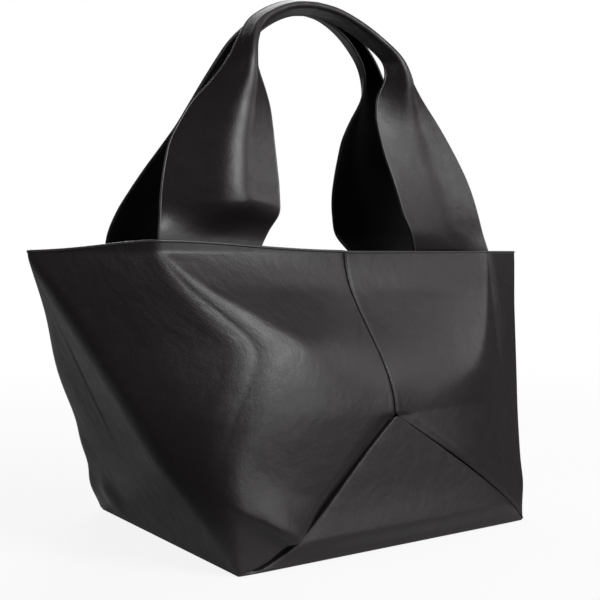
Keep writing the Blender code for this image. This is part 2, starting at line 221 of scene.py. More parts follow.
def make_leather(name, colour, roughness, grain=1.0):
    finish = Finish(name)
    sheet = finish.node("UVMap", {"uv_map": "sheet"})
    drift = finish.node("TexNoise", {"noise_dimensions": "2D"},
                        {"Vector": sheet, "Scale": 0.3 / GRAIN_SIZE, "Detail": 1.0}, output="Color")
    bent = finish.node("VectorMath", {"operation": "MULTIPLY_ADD"},
                       {0: drift, 1: (GRAIN_SIZE, GRAIN_SIZE, 0.0), 2: sheet})
    pebbles = finish.node("TexVoronoi", {"voronoi_dimensions": "2D", "feature": "SMOOTH_F1"},
                          {"Vector": bent, "Scale": 1.0 / GRAIN_SIZE, "Smoothness": 0.6})
    pores = finish.node("TexNoise", {"noise_dimensions": "2D"},
                        {"Vector": sheet, "Scale": 2.6 / GRAIN_SIZE, "Detail": 2.0})
    clouds = finish.node("TexNoise", {"noise_dimensions": "2D"},
                         {"Vector": sheet, "Scale": 1.0 / CLOUD_SIZE, "Detail": 4.0, "Roughness": 0.55})
    relief = (1.0 - pebbles) * 0.8 + pores * 0.25
    bump = finish.node("Bump", None, {"Strength": 0.55 * grain, "Distance": GRAIN_DEPTH, "Height": relief})
    ripples = finish.node("Bump", None,
                          {"Strength": 0.60, "Distance": CLOUD_DEPTH, "Height": clouds, "Normal": bump})
    # the clouds vary the tone, and the grain's valleys get a painted shade
    shade = finish.mix_colours(clouds * 0.5 + pebbles * 0.35, colour,
                               [part * VALLEY_SHADE for part in colour])
    finish.set(base_color=shade, roughness=roughness - 0.05 + clouds * 0.12 + pebbles * 0.05,
               normal=ripples)
    return finish.owner


BLACK_CALF = (0.0145, 0.0105, 0.0115)
panel_leather = make_leather("panel_leather", BLACK_CALF, 0.40)
bottom_leather = make_leather("bottom_leather", BLACK_CALF, 0.42)
strap_leather = make_leather("strap_leather", BLACK_CALF, 0.39)
facing_leather = make_leather("facing_leather", (0.0120, 0.0090, 0.0100), 0.50, grain=0.6)
print("leathers:", panel_leather.name, bottom_leather.name, strap_leather.name, facing_leather.name)

# %% [markdown]
# ## Suede, edge paint, thread, tape and board
# The back of the leather is suede: deep black, with a soft nap that never shines. The cut edges are
# sealed with a satin edge paint, a little lighter than the leather: partly its own tone, and partly a
# painted highlight where the edges catch the light. The thread is waxed polyester, a little lighter than
# the leather. The tape behind the seams is woven, and the board in the base is plain and matt with a
# faint tooth.

# %% Other finishes
def make_suede(name, colour):
    finish = Finish(name)
    sheet = finish.node("UVMap", {"uv_map": "sheet"})
    nap = finish.node("TexNoise", {"noise_dimensions": "2D"},
                      {"Vector": sheet, "Scale": 1400.0, "Detail": 3.0, "Roughness": 0.7})
    strokes = finish.node("TexNoise", {"noise_dimensions": "2D"},
                          {"Vector": sheet, "Scale": 55.0, "Detail": 3.0, "Distortion": 0.8})
    worn = finish.mix_colours(strokes * 0.6 + nap * 0.4, [part * 0.6 for part in colour],
                              [part * 1.3 for part in colour])
    bump = finish.node("Bump", None, {"Strength": 0.5, "Distance": 0.0002, "Height": nap})
    finish.set(base_color=worn, roughness=0.88 + nap * 0.1, normal=bump, specular_ior_level=0.25)
    return finish.owner


def make_fine_finish(name, scale, detail, dark, light, relief, roughness, spread):
    """A finish with one fine grain: brush marks in paint, or fibres in a thread."""
    finish = Finish(name)
    place = finish.node("TexCoord", output="Object")
    grain = finish.node("TexNoise", None, {"Vector": place, "Scale": scale, "Detail": detail})
    bump = finish.node("Bump", None, {"Strength": relief, "Distance": 0.0001, "Height": grain})
    finish.set(base_color=finish.mix_colours(grain, dark, light), roughness=roughness + grain * spread,
               normal=bump)
    return finish.owner


def make_woven_tape():
    finish = Finish("woven_tape")
    sheet = finish.node("UVMap", {"uv_map": "sheet"})
    warp = finish.node("TexWave", {"bands_direction": "X"}, {"Vector": sheet, "Scale": 300.0})
    weft = finish.node("TexWave", {"bands_direction": "Y"}, {"Vector": sheet, "Scale": 300.0})
    weave = warp * weft
    shade = finish.mix_colours(weave, (0.010, 0.0095, 0.0095), (0.026, 0.025, 0.025))
    bump = finish.node("Bump", None, {"Strength": 0.6, "Distance": 0.0002, "Height": weave})
    finish.set(base_color=shade, roughness=0.70 + weave * 0.1, normal=bump)
    return finish.owner


def make_board_finish():
    finish = Finish("board_finish")
    place = finish.node("TexCoord", output="Object")
    tooth = finish.node("TexNoise", None, {"Vector": place, "Scale": 900.0, "Detail": 3.0})
    scuffs = finish.node("TexNoise", None,
                         {"Vector": place, "Scale": 30.0, "Detail": 4.0, "Distortion": 1.2})
    shade = finish.mix_colours(scuffs, (0.018, 0.017, 0.017), (0.036, 0.035, 0.034))
    bump = finish.node("Bump", None, {"Strength": 0.4, "Distance": 0.0002, "Height": tooth})
    finish.set(base_color=shade, roughness=0.62 + tooth * 0.15, normal=bump)
    return finish.owner


flesh_suede = make_suede("flesh_suede", (0.018, 0.0165, 0.016))
lining_suede = make_suede("lining_suede", (0.006, 0.0055, 0.0055))
# the edge paint's lighter colours are partly its own tone and partly a painted highlight on the edges
edge_paint = make_fine_finish("edge_paint", 260.0, 3.0, (0.030, 0.028, 0.028), (0.048, 0.045, 0.045),
                              relief=0.3, roughness=0.30, spread=0.12)
waxed_thread = make_fine_finish("waxed_thread", 2600.0, 2.0, (0.020, 0.019, 0.019), (0.052, 0.049, 0.048),
                                relief=0.4, roughness=0.42, spread=0.15)
woven_tape = make_woven_tape()
board_finish = make_board_finish()
print("other finishes:", flesh_suede.name, lining_suede.name, edge_paint.name, waxed_thread.name)

# %% [markdown]
# ## How a sheet is made
# Leather is a sheet, so every leather piece starts as one flat grid. Its map is written in metres while
# it is still flat, and then each point of the grid is carried to its place in the bag by a function of
# where it lies on the sheet. Solidify gives the sheet its thickness, inward from the good side, with the
# suede side as a second material. The result is applied, so that the mesh is final and its edges can be
# marked sharp.

# %% Sheet helper
SHARP_EDGE = radians(50.0)


def make_sheet(name, columns, rows, lay, place, thickness, materials):
    """A sheet of so many columns and rows: lay(across, up) is a point's place on the flat hide, or else
    lay is the sheet's size, and place(across, up) is its place in the bag."""
    bm = bmesh.new()
    bmesh.ops.create_grid(bm, x_segments=columns, y_segments=rows, size=0.5)
    layer = bm.loops.layers.uv.new("sheet")
    for face in bm.faces:
        for loop in face.loops:
            across, up = loop.vert.co.x + 0.5, loop.vert.co.y + 0.5
            loop[layer].uv = lay(across, up) if callable(lay) else (across * lay[0], up * lay[1])
    for vertex in bm.verts:
        vertex.co = place(vertex.co.x + 0.5, vertex.co.y + 0.5)
    mesh = bpy.data.meshes.new(name)
    bm.to_mesh(mesh)
    bm.free()
    for material in materials:
        mesh.materials.append(material)
    item = bpy.data.objects.new(name, mesh)
    bpy.context.scene.collection.objects.link(item)
    solid = item.modifiers.new("thickness", "SOLIDIFY")
    solid.thickness = thickness
    solid.offset = -1.0
    solid.use_even_offset = False
    solid.material_offset = len(materials) - 1
    return apply_modifiers(item)


def apply_modifiers(item):
    """Turns the object's modified shape into its own mesh, shaded smooth apart from its sharp edges."""
    graph = bpy.context.evaluated_depsgraph_get()
    mesh = bpy.data.meshes.new_from_object(item.evaluated_get(graph), depsgraph=graph)
    old = item.data
    item.modifiers.clear()
    item.data = mesh
    bpy.data.meshes.remove(old)
    mesh.name = item.name
    mesh.shade_smooth()
    mesh.set_sharp_from_angle(angle=SHARP_EDGE)
    return item


def report(item):
    """Prints how many faces a finished piece has."""
    print(item.name, "has", len(item.data.polygons), "faces")


print("sheets are made by", make_sheet.__name__)

# %% [markdown]
# ## The wall as a path round the bag
# Seen from above, each half of the wall is a path: from the front seam to the front fold, out to the end
# fold, along the end, and back the same way. First come the sizes of the base and of the rim, and the
# front left fold. The other folds are straight lines from a corner of the base up to the rim. This one
# juts out in a knuckle halfway up, where the weight of the handle has pushed it, so it has a table of its
# own.

# %% Sizes of the wall
BASE_WIDTH = 0.330
BASE_DEPTH = 0.280
RIM_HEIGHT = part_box("left_side_panel")[1].z
RIM_SPAN = 0.586
RIM_CORNER_WIDTH = 0.388
RIM_CORNER_DEPTH = 0.1164
RIM_SEAM_DEPTH = 0.1240
APEX_HEIGHT = 0.1203
APEX_DEPTH = 0.2794
FRONT_SHARE = 0.25             # of the wall's columns, those between a seam and the front fold
FRONT_LEFT_FOLD = (
    # height, half width and half depth
    (0.0000, 0.1650, 0.1400),
    (0.0500, 0.1735, 0.1395),
    (0.0930, 0.1780, 0.1350),
    (0.1260, 0.1650, 0.1320),
    (0.1570, 0.1460, 0.1265),
    (0.1850, 0.1340, 0.1175),
    (0.2110, 0.1530, 0.0995),
    (0.2400, 0.1805, 0.0770),
    (0.2671, 0.1955, 0.0582),
)
print("the rim is", round(RIM_HEIGHT, 4), "m high and", RIM_SPAN, "m wide from tip to tip")

# %% [markdown]
# ## Rim, seams and folds at a height
# The next helpers say where the rim, the seams and the folds are at any height. On the real bag the
# handle pulls the rim up a little at the front left fold. The centre seam stands upright as far as the
# tip of the base's triangle, and then leans in to the rim in an S. The triangle's own seams bow, and a
# smooth curve is laid through the rows of the fold's table.

# %% Rim, seams and folds
RIM_LIFT = 0.0095              # the front left fold stands this much higher than the rest of the rim
RIM_LIFT_TURN = 0.245
RIM_LIFT_WIDTH = 0.15
CORNER_TUCKS = {-1: 0.0010, 1: 0.0006}   # how far the base's front corners are drawn in, left and right
CORNER_TUCK_HEIGHT = 0.045
FOLD_TUCK = 1.8                # the fold is drawn in by more than the corner, and the end by still more
END_TUCK = 3.0
TRIANGLE_SHARES = {-1: (0.55, 0.35), 1: (1.20, -0.05)}   # how the triangle's seam bows, left and right


def rim_height(turn, side):
    """The height of the rim: the handle pulls it up at the front left fold."""
    if side > 0:
        return RIM_HEIGHT
    return RIM_HEIGHT + RIM_LIFT * exp(-((turn - RIM_LIFT_TURN) / RIM_LIFT_WIDTH) ** 2)


def corner_tuck(height, side, rear):
    """How far a front corner of the base is drawn in at this height."""
    return 0.0 if rear else CORNER_TUCKS[side] * (1.0 - ease(height / CORNER_TUCK_HEIGHT))


def seam_half_depth(height):
    """Half the bag's depth on the centre seam."""
    if height < APEX_HEIGHT:
        return mix(BASE_DEPTH, APEX_DEPTH, height / APEX_HEIGHT) / 2
    rise = min(1.0, (height - APEX_HEIGHT) / (RIM_HEIGHT - APEX_HEIGHT))
    return mix(RIM_SEAM_DEPTH, APEX_DEPTH, (1 + cos(pi * rise)) / 2) / 2


def seam_reach(height, side):
    """How far from the middle the triangle's seam lies, on the left (-1) or the right (1)."""
    low, more = TRIANGLE_SHARES[side]
    rise = clamp(height / APEX_HEIGHT)
    return BASE_WIDTH / 2 * (1.0 - rise ** (low + more * rise))


def smooth_between(rows, height):
    """The values of a table at a height, on a smooth curve through its rows."""
    index = 0
    while index < len(rows) - 2 and rows[index + 1][0] < height:
        index += 1
    start, end = rows[index], rows[index + 1]
    before, after = rows[max(index - 1, 0)], rows[min(index + 2, len(rows) - 1)]
    span = end[0] - start[0]
    step = clamp((height - start[0]) / span)
    values = []
    for column in range(1, len(start)):
        rate_in = (end[column] - before[column]) / (end[0] - before[0]) * span
        rate_out = (after[column] - start[column]) / (after[0] - start[0]) * span
        values.append(mix(start[column], end[column], ease(step))
                      + rate_in * step * (1 - step) ** 2 - rate_out * step ** 2 * (1 - step))
    return values


def fold_place(height, side, rear):
    """The half width and half depth at which a quarter of the wall has its front or rear fold."""
    share = min(1.0, height / RIM_HEIGHT)
    if side < 0 and not rear:
        width, depth = smooth_between(FRONT_LEFT_FOLD, height)
    else:
        width = mix(BASE_WIDTH, RIM_CORNER_WIDTH, share) / 2
        depth = mix(BASE_DEPTH, RIM_CORNER_DEPTH, share) / 2
    return Vector((width, depth - FOLD_TUCK * corner_tuck(height, side, rear)))


print("halfway up, the front left fold is", round(fold_place(0.185, -1, False).x, 3), "m from the middle")

# %% [markdown]
# ## The rounded path
# The leather rounds each fold: tightly at the rim and near the base, and very softly halfway up, where
# nothing holds it. A path is straight from corner to corner, and each corner bends it by a rounded step.
# The same heights are asked for again and again, so lru_cache keeps the paths that are already worked
# out.

# %% The wall's path
FRONT_SOFTNESS = {-1: 0.026, 1: 0.052}   # at its softest, on the left and right of the front
REAR_SOFTNESS = 0.045
END_SOFTNESS = 0.016
FOOT_SOFTNESS = 0.004
SOFTEST_SHARE = 0.45                     # the share of the height at which the folds are softest
RIM_SOFTNESS = {-1: 0.007, 1: 0.020}
RIM_TIGHTENING = {-1: 0.75, 1: 0.45}     # the share of the height from which they tighten to the rim
SOFTNESS_LIMIT = 0.9                     # a fold is rounded over no more of its way to the seam


def fold_softness(height, most, side):
    """How far a fold is rounded to each side, at this height."""
    share = height / RIM_HEIGHT
    low = mix(FOOT_SOFTNESS, most, ease(share / SOFTEST_SHARE))
    tightening = RIM_TIGHTENING[side]
    return mix(low, RIM_SOFTNESS[side], ease((share - tightening) / (1.0 - tightening)))


@lru_cache(maxsize=None)
def wall_plan(height, side):
    """The path at a height: its points and directions, how far along its folds lie, how soft they are."""
    share = min(1.0, height / RIM_HEIGHT)
    tuck = corner_tuck(height, side, False)
    seam = Vector((seam_reach(height, side), seam_half_depth(height)))
    fold = fold_place(height, side, False)
    rear_fold = fold_place(height, side, True)
    end = Vector((mix(BASE_WIDTH, RIM_SPAN, share) / 2, mix(BASE_DEPTH, 0.0, share) / 2))
    points = [Vector((seam.x, tuck - seam.y)), Vector((fold.x, -fold.y)),
              Vector((end.x, END_TUCK * tuck - end.y)), end, rear_fold, seam]
    ways = []
    reaches = [0.0]
    for before, after in zip(points, points[1:]):
        step = after - before
        ways.append(step.normalized() if step.length > 1e-6 else Vector((0.0, 1.0)))
        reaches.append(reaches[-1] + step.length)
    front = min(fold_softness(height, FRONT_SOFTNESS[side], side), SOFTNESS_LIMIT * reaches[1])
    rear = min(fold_softness(height, REAR_SOFTNESS, side), SOFTNESS_LIMIT * (reaches[5] - reaches[4]))
    ends = fold_softness(height, END_SOFTNESS, -1)
    return points, ways, reaches, (front, ends, ends, rear)


def plan_point(plan, distance):
    """The point at a distance along the rounded path, and the way out of the bag there."""
    points, ways, reaches, softness = plan
    place = points[0] + ways[0] * distance
    heading = ways[0].copy()
    for before, after, corner, soft in zip(ways, ways[1:], reaches[1:], softness):
        place += (after - before) * soft_past(distance - corner, soft)
        heading += (after - before) * soft_passed(distance - corner, soft)
    return place, Vector((heading.y, -heading.x)).normalized()


def plan_distance(plan, turn, margin):
    """How far along the path a column lies, from turn 0 at the front seam to turn 1 at the rear seam."""
    points, ways, reaches, softness = plan
    middle = (reaches[2] + reaches[3]) / 2
    rear = turn > 0.5
    if rear:
        turn = 1.0 - turn
        seam, fold, first, half = points[5], points[4], reaches[5] - reaches[4], reaches[5] - middle
    else:
        seam, fold, first, half = points[0], points[1], reaches[1], middle
    if turn < FRONT_SHARE:
        across = mix(margin, fold.x, turn / FRONT_SHARE)
        distance = first * clamp((across - seam.x) / (fold.x - seam.x))
    else:
        distance = mix(first, half, (turn - FRONT_SHARE) / (0.5 - FRONT_SHARE))
    return reaches[5] - distance if rear else distance


print("half of the wall is", round(wall_plan(RIM_HEIGHT / 2, 1)[2][5], 3), "m round at mid height")

# %% [markdown]
# ## Folds and hollows in the wall
# A straight path would give a paper bag. The real leather has a soft ridge that runs from the front fold
# at the rim down to the tip of the triangle, sagging on its way. Above it the wall leans back, and below
# it the wall stands upright. There are a few hollows and bulges besides: one swelling at the bottom front
# corner, with a tuck under it, a band below the rim where the facing stiffens the leather, and a swelling
# at each corner of the base. Each is a hill with its own place, widths and height, so it can be moved and
# sized by itself.

# %% Relief of the wall
RIDGE_RISES = {(-1, False): 0.009, (1, False): 0.013, (-1, True): 0.012, (1, True): 0.014}   # side, rear
RIDGE_SHARES = {-1: (0.6, 0.8, 0.4, 6.0), 1: (0.3, 0.8, 0.7, 6.0)}   # how it climbs to the rim
RIDGE_SKEW = 1.4                        # above 1, the ridge stands out most beyond its middle
RIDGE_SOFTNESS = 0.15                   # of the ridge's height
RIDGE_HOLLOWS = {-1: 1.0, 1: 1.8}       # above 1, the wall is hollow between the base and the ridge
SEAM_DIPS = (0.0050, 0.0020)            # how far the side panel dips to go under the triangle, foot and tip
SEAM_DIP_REACHES = (0.0040, 0.0130)
WALL_RUN = 0.70                         # metres of wall for a whole turn, near enough for the hills' widths
HILLS = (
    # side, rear, turn, height, width across, width above, width below, slant, rise
    (-1, False, 0.174, 0.028, 0.046, 0.023, 0.006, 33.0, 0.0105),
    (-1, False, 0.345, 0.140, 0.050, 0.070, 0.070, 0.0, 0.0050),
    (1, False, 0.110, 0.232, 0.080, 0.010, 0.010, 0.0, -0.0012),
    (-1, False, 0.110, 0.234, 0.080, 0.010, 0.010, 0.0, -0.0008),
    (1, False, 0.090, 0.060, 0.060, 0.030, 0.030, 30.0, 0.0020),
    (-1, True, 0.400, 0.155, 0.050, 0.055, 0.055, 0.0, 0.0055),
    (-1, True, 0.300, 0.085, 0.040, 0.024, 0.024, 0.0, 0.0030),
    (-1, True, 0.270, 0.035, 0.022, 0.022, 0.022, 0.0, 0.0045),
    (-1, True, 0.180, 0.060, 0.050, 0.030, 0.030, 20.0, 0.0040),
    (1, True, 0.200, 0.050, 0.045, 0.025, 0.025, 10.0, 0.0045),
    (-1, True, 0.355, 0.028, 0.022, 0.016, 0.016, 0.0, 0.0065),
    (1, True, 0.355, 0.028, 0.022, 0.016, 0.016, 0.0, 0.0060),
    (1, False, 0.300, 0.028, 0.022, 0.016, 0.016, 0.0, 0.0035),
)


def ridge_height(share, side):
    """Where the ridge lies, from the triangle's tip at share 0 to the rim's fold at share 1."""
    slow, slow_power, late, late_power = RIDGE_SHARES[side]
    return mix(APEX_HEIGHT, RIM_HEIGHT, slow * share ** slow_power + late * share ** late_power)


def ridge_rise(turn, height, side, most):
    """How far the ridge lifts the wall off its straight path."""
    share = turn / FRONT_SHARE
    if share >= 1.0:
        return 0.0
    crest = ridge_height(share, side)
    above = max(0.0, (RIM_HEIGHT - height) / (RIM_HEIGHT - crest))
    below = (height / crest) ** RIDGE_HOLLOWS[side]
    shape = above - soft_past(above - below, RIDGE_SOFTNESS)
    return most * sin(pi * share ** RIDGE_SKEW) * shape


def hill_rise(spot, turn, height):
    """How far one hill lifts the wall; a hollow has a rise below 0."""
    middle, level, width, above, below, slant, rise = spot
    across, up, slant = (turn - middle) * WALL_RUN, height - level, radians(slant)
    along = across * cos(slant) + up * sin(slant)
    over = up * cos(slant) - across * sin(slant)
    return rise * exp(-(along / width) ** 2 - (over / (above if over > 0.0 else below)) ** 2)


def wall_relief(turn, height, side):
    """How far the wall stands out from its path."""
    rear = turn > 0.5
    turn = min(turn, 1.0 - turn)
    rise = ridge_rise(turn, height, side, RIDGE_RISES[side, rear])
    for hill_side, hill_rear, *spot in HILLS:
        if hill_side == side and hill_rear == rear:
            rise += hill_rise(spot, turn, height)
    if turn < FRONT_SHARE and height < APEX_HEIGHT:
        gap = fold_place(height, side, rear).x * turn / FRONT_SHARE
        dip = mix(*SEAM_DIPS, height / APEX_HEIGHT)
        reach = mix(*SEAM_DIP_REACHES, height / APEX_HEIGHT)
        rise -= dip * exp(-((gap - seam_reach(height, side)) / reach) ** 2)
    return rise


print("the wall has", len(HILLS), "hills and hollows besides its ridge")

# %% [markdown]
# ## Points on the wall
# The path and the relief together give each point on the outside of the wall. The way out of the wall at a
# point, its normal, is found from the points close round it.

# %% Points on the wall
NEAR_TURN = 0.002              # how far a point's neighbours are, along the wall
NEAR_RISE = 0.001              # and up it, in metres


def wall_outside(turn, height, side, margin=0.0):
    """A point on the outside of one half of the wall, with its ridge and its hills."""
    plan = wall_plan(height, side)
    place, outward = plan_point(plan, plan_distance(plan, turn, margin))
    place += outward * wall_relief(turn, height, side)
    return Vector((place.x * side, place.y, height))


def wall_normal(turn, height, side, margin=0.0):
    """The direction out of the wall at a point, from its neighbours."""
    left, right = max(0.0, turn - NEAR_TURN), min(1.0, turn + NEAR_TURN)
    low, high = max(0.0, height - NEAR_RISE), height + NEAR_RISE
    across = wall_outside(right, height, side, margin) - wall_outside(left, height, side, margin)
    up = wall_outside(turn, high, side, margin) - wall_outside(turn, low, side, margin)
    return across.cross(up).normalized() * side


print("above the ridge, the wall leans back by", round(wall_normal(0.1, 0.2, -1).z, 3))

# %% [markdown]
# ## The side panels
# One piece of leather wraps each end of the bag, from the front seam to the rear seam. Its edges are
# turned in and sewn, so they end in a small round lip, and not in a cut. The panel's lower edge follows
# the triangle's seam and then the edge of the base. A few columns and rows at the edges of the grid are
# set aside to make that lip.

# %% Side panels
LEATHER_THICKNESS = 0.0018
LIP_RADIUS = 0.0016
LIP_STEPS = 4
LIP_TAIL = 0.0040
SEAM_GAP = 0.0005
WELT_GAP = 0.0016              # the centre seams are wider, and a welt lies in them
PANEL_COLUMNS = 232
PANEL_ROWS = 118


@lru_cache(maxsize=None)
def foot_height(turn, side, margin):
    """The height of the wall's lower edge at a column."""
    rear = turn > 0.5
    turn = min(turn, 1.0 - turn)
    base = 2 * LIP_RADIUS + SEAM_GAP
    if turn >= FRONT_SHARE:
        return base
    low, high = 0.0, APEX_HEIGHT
    for _ in range(20):                  # halving steps, to where the column meets the triangle's seam
        middle = (low + high) / 2
        fold = fold_place(middle, side, rear).x
        if mix(margin, fold, turn / FRONT_SHARE) < seam_reach(middle, side):
            low = middle
        else:
            high = middle
    return middle + mix(LIP_RADIUS + SEAM_GAP, base, ease(turn / FRONT_SHARE))


def lip_offset(step, outward, normal):
    """How far a point of the turned edge lies from where the flat sheet ends."""
    if step <= 0.0:
        return Vector((0.0, 0.0, 0.0))
    angle = min(1.0, step * LIP_STEPS / (LIP_STEPS - 1)) * pi / 2
    tail = LIP_TAIL if step >= 1.0 else 0.0
    return outward * LIP_RADIUS * sin(angle) - normal * (LIP_RADIUS * (1 - cos(angle)) + tail)


def make_side_panel(name, side, node):
    """One end of the bag, with half of the front and half of the back."""
    columns = PANEL_COLUMNS + 2 * LIP_STEPS
    rows = PANEL_ROWS + LIP_STEPS
    margin = WELT_GAP / 2 + LIP_RADIUS

    def find(across, up):
        column = round((across if side > 0 else 1.0 - across) * columns) - LIP_STEPS
        row = round(up * rows) - LIP_STEPS
        turn = clamp(column / PANEL_COLUMNS)
        height = mix(foot_height(turn, side, margin), rim_height(turn, side), clamp(row / PANEL_ROWS))
        return column, row, turn, height

    def lay(across, up):
        column, row, turn, height = find(across, up)
        return column / PANEL_COLUMNS * WALL_RUN, height + min(0, row) * LIP_RADIUS / LIP_STEPS

    def place(across, up):
        column, row, turn, height = find(across, up)
        point = wall_outside(turn, height, side, margin)
        past_side = max(0, -column, column - PANEL_COLUMNS) / LIP_STEPS
        past_foot = max(0, -row) / LIP_STEPS
        if past_side > 0.0 or past_foot > 0.0:
            normal = wall_normal(turn, height, side, margin)
            over = wall_outside(turn, height + NEAR_RISE, side, margin) - point
            down = -(over - normal * over.dot(normal)).normalized()
            middle = Vector((-side, 0.0, 0.0))
            point += lip_offset(past_side, middle, normal) + lip_offset(past_foot, down, normal)
        return point
    item = make_sheet(name, columns, rows, lay, place, LEATHER_THICKNESS, (panel_leather, flesh_suede))
    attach(item, "bag")
    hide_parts(node)
    return item


report(make_side_panel("left_side_leather", -1, "left_side_panel"))
report(make_side_panel("right_side_leather", 1, "right_side_panel"))

# %% [markdown]
# ## The base with its triangles
# The base is cut in one piece with the triangle that rises at the front and the one at the back. It is
# flat where it stands, and turns up round a tight bend. The triangle is stretched between its seams, so
# it lies a little behind the side panels' lips, and swells slightly in its middle.

# %% Base
BASE_EDGE_RADIUS = 0.003
BASE_ROWS = (30, 10, 60)       # along half of the base, round its bend, and up the triangle
BASE_COLUMNS = 110
TRIANGLE_SWELL = 0.0030
TRIANGLE_BELLY = 0.0050        # it stands out most a little above its foot
TRIANGLE_BELLY_HEIGHT = 0.018
TRIANGLE_BELLY_REACH = 0.025
TRIANGLE_LIFTS = (0.0030, 0.0012)        # how proud it stands of the side panels, at its foot and its tip
TRIANGLE_RISE = 0.020          # above its bend, the height from which it is fully upright
CORNER_CURL = 0.010            # how near the corner the triangle starts to turn in with it
CURL_DEPTHS = (0.030, 0.020)   # how far in from the base's edge that starts, and how soon it is full


def base_profile(row):
    """Half of the base's profile, from its middle out and up: depth, height and how far up the triangle."""
    flat, bend, rise = BASE_ROWS
    edge = BASE_DEPTH / 2
    if row <= flat:
        return (edge - BASE_EDGE_RADIUS) * row / flat, 0.0
    if row <= flat + bend:
        angle = pi / 2 * (row - flat) / bend
        return edge - BASE_EDGE_RADIUS * (1 - sin(angle)), BASE_EDGE_RADIUS * (1 - cos(angle))
    height = mix(BASE_EDGE_RADIUS, APEX_HEIGHT - LIP_RADIUS, (row - flat - bend) / rise)
    return seam_half_depth(height), height


def make_base():
    half = sum(BASE_ROWS)
    rows = 2 * half
    columns = BASE_COLUMNS + 2 * LIP_STEPS

    def find(across, up):
        row = round(up * rows) - half
        column = round((1.0 - across) * columns) - LIP_STEPS
        depth, height = base_profile(abs(row))
        left = -max(seam_reach(height, -1) - LIP_RADIUS - SEAM_GAP / 2, SEAM_GAP)
        right = max(seam_reach(height, 1) - LIP_RADIUS - SEAM_GAP / 2, SEAM_GAP)
        return row, column, depth, height, left, right

    def lay(across, up):
        row, column, depth, height, left, right = find(across, up)
        return mix(left, right, column / BASE_COLUMNS), (depth + height) * (1 if row > 0 else -1)

    def place(across, up):
        row, column, depth, height, left, right = find(across, up)
        share = clamp(column / BASE_COLUMNS)
        x = mix(left, right, share)
        upright = ease((height - BASE_EDGE_RADIUS) / TRIANGLE_RISE)
        lift = mix(*TRIANGLE_LIFTS, height / APEX_HEIGHT)
        belly = TRIANGLE_BELLY * exp(-((height - TRIANGLE_BELLY_HEIGHT) / TRIANGLE_BELLY_REACH) ** 2)
        width_share = (right - left) / BASE_WIDTH
        swell = upright * ((TRIANGLE_SWELL + belly) * sin(pi * share) ** 0.5 * width_share + lift)
        side = 1 if share > 0.5 else -1
        edge_gap = min(x - left, right - x)
        near_edge = ease((depth - BASE_DEPTH / 2 + CURL_DEPTHS[0]) / CURL_DEPTHS[1])
        swell -= corner_tuck(height, side, row > 0) * exp(-edge_gap / CORNER_CURL) * near_edge
        bend = pi / 2 * (1 - clamp(height / BASE_EDGE_RADIUS))
        normal = Vector((0.0, cos(bend), -sin(bend)))
        point = Vector((x, depth + swell, height))
        past = max(0, -column, column - BASE_COLUMNS) / LIP_STEPS
        if past > 0.0:
            outward = Vector((-1.0 if column < 0 else 1.0, 0.0, 0.0))
            point += lip_offset(past, outward, normal)
        return Vector((point.x, point.y if row > 0 else -point.y, point.z))
    item = make_sheet("base_leather", columns, rows, lay, place, LEATHER_THICKNESS,
                      (bottom_leather, flesh_suede))
    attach(item, "bag")
    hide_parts("bottom_panel")
    return item


report(make_base())

# %% [markdown]
# ## Tubes and stitches
# Two more helpers make the long thin parts. A tube is a grid rolled up along a path of points. A stitch
# is a small ball, stretched along the thread and pressed half into the leather, and a row of them is one
# mesh.

# %% Tube and stitch helpers
STITCH_SIZE = (0.0018, 0.00045, 0.00040)   # half its length, width and height
STITCH_SLANT = radians(38.0)


def make_tube(name, path, radius, sides, material, closed=False):
    """A tube round a path of points: a grid rolled up along it."""
    steps = len(path) if closed else len(path) - 1

    def place(across, up):
        index = round(up * steps)
        here = path[index % len(path)]
        if closed:
            ahead = path[(index + 1) % len(path)] - path[(index - 1) % len(path)]
        else:
            ahead = path[min(index + 1, steps)] - path[max(index - 1, 0)]
        ahead.normalize()
        other = Vector((0.0, 1.0, 0.0)) if abs(ahead.y) < 0.9 else Vector((0.0, 0.0, 1.0))
        flat = ahead.cross(other).normalized()
        over = flat.cross(ahead)
        angle = -2 * pi * across
        return here + (flat * cos(angle) + over * sin(angle)) * radius

    bm = bmesh.new()
    bmesh.ops.create_grid(bm, x_segments=sides, y_segments=steps, size=0.5)
    layer = bm.loops.layers.uv.new("sheet")
    for face in bm.faces:
        for loop in face.loops:
            across, up = loop.vert.co.x + 0.5, loop.vert.co.y + 0.5
            loop[layer].uv = (across * 2 * pi * radius, up * steps * radius)
    for vertex in bm.verts:
        vertex.co = place(vertex.co.x + 0.5, vertex.co.y + 0.5)
    bmesh.ops.remove_doubles(bm, verts=bm.verts, dist=radius / 50)
    open_edges = [edge for edge in bm.edges if edge.is_boundary]
    if open_edges:
        bmesh.ops.holes_fill(bm, edges=open_edges, sides=0)
    bmesh.ops.recalc_face_normals(bm, faces=bm.faces)
    return finish_mesh(name, bm, material)


def finish_mesh(name, bm, material):
    """Turns a bmesh into a smooth object with one material."""
    mesh = bpy.data.meshes.new(name)
    bm.to_mesh(mesh)
    bm.free()
    mesh.materials.append(material)
    mesh.shade_smooth()
    item = bpy.data.objects.new(name, mesh)
    bpy.context.scene.collection.objects.link(item)
    return item


def make_stitches(name, spots):
    """A row of stitches; each spot is a place, the way the thread runs and the way out of the leather."""
    bm = bmesh.new()
    for place, ahead, outward in spots:
        ahead = (ahead - outward * ahead.dot(outward)).normalized()
        axes = Matrix((ahead, outward.cross(ahead), outward)).transposed()
        shape = Matrix.LocRotScale(place, axes.to_quaternion(), Vector(STITCH_SIZE))
        bmesh.ops.create_uvsphere(bm, u_segments=6, v_segments=6, radius=1.0, matrix=shape)
    item = finish_mesh(name, bm, waxed_thread)
    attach(item, "bag")
    return item


print("a stitch is", STITCH_SIZE[0] * 2000, "mm long")

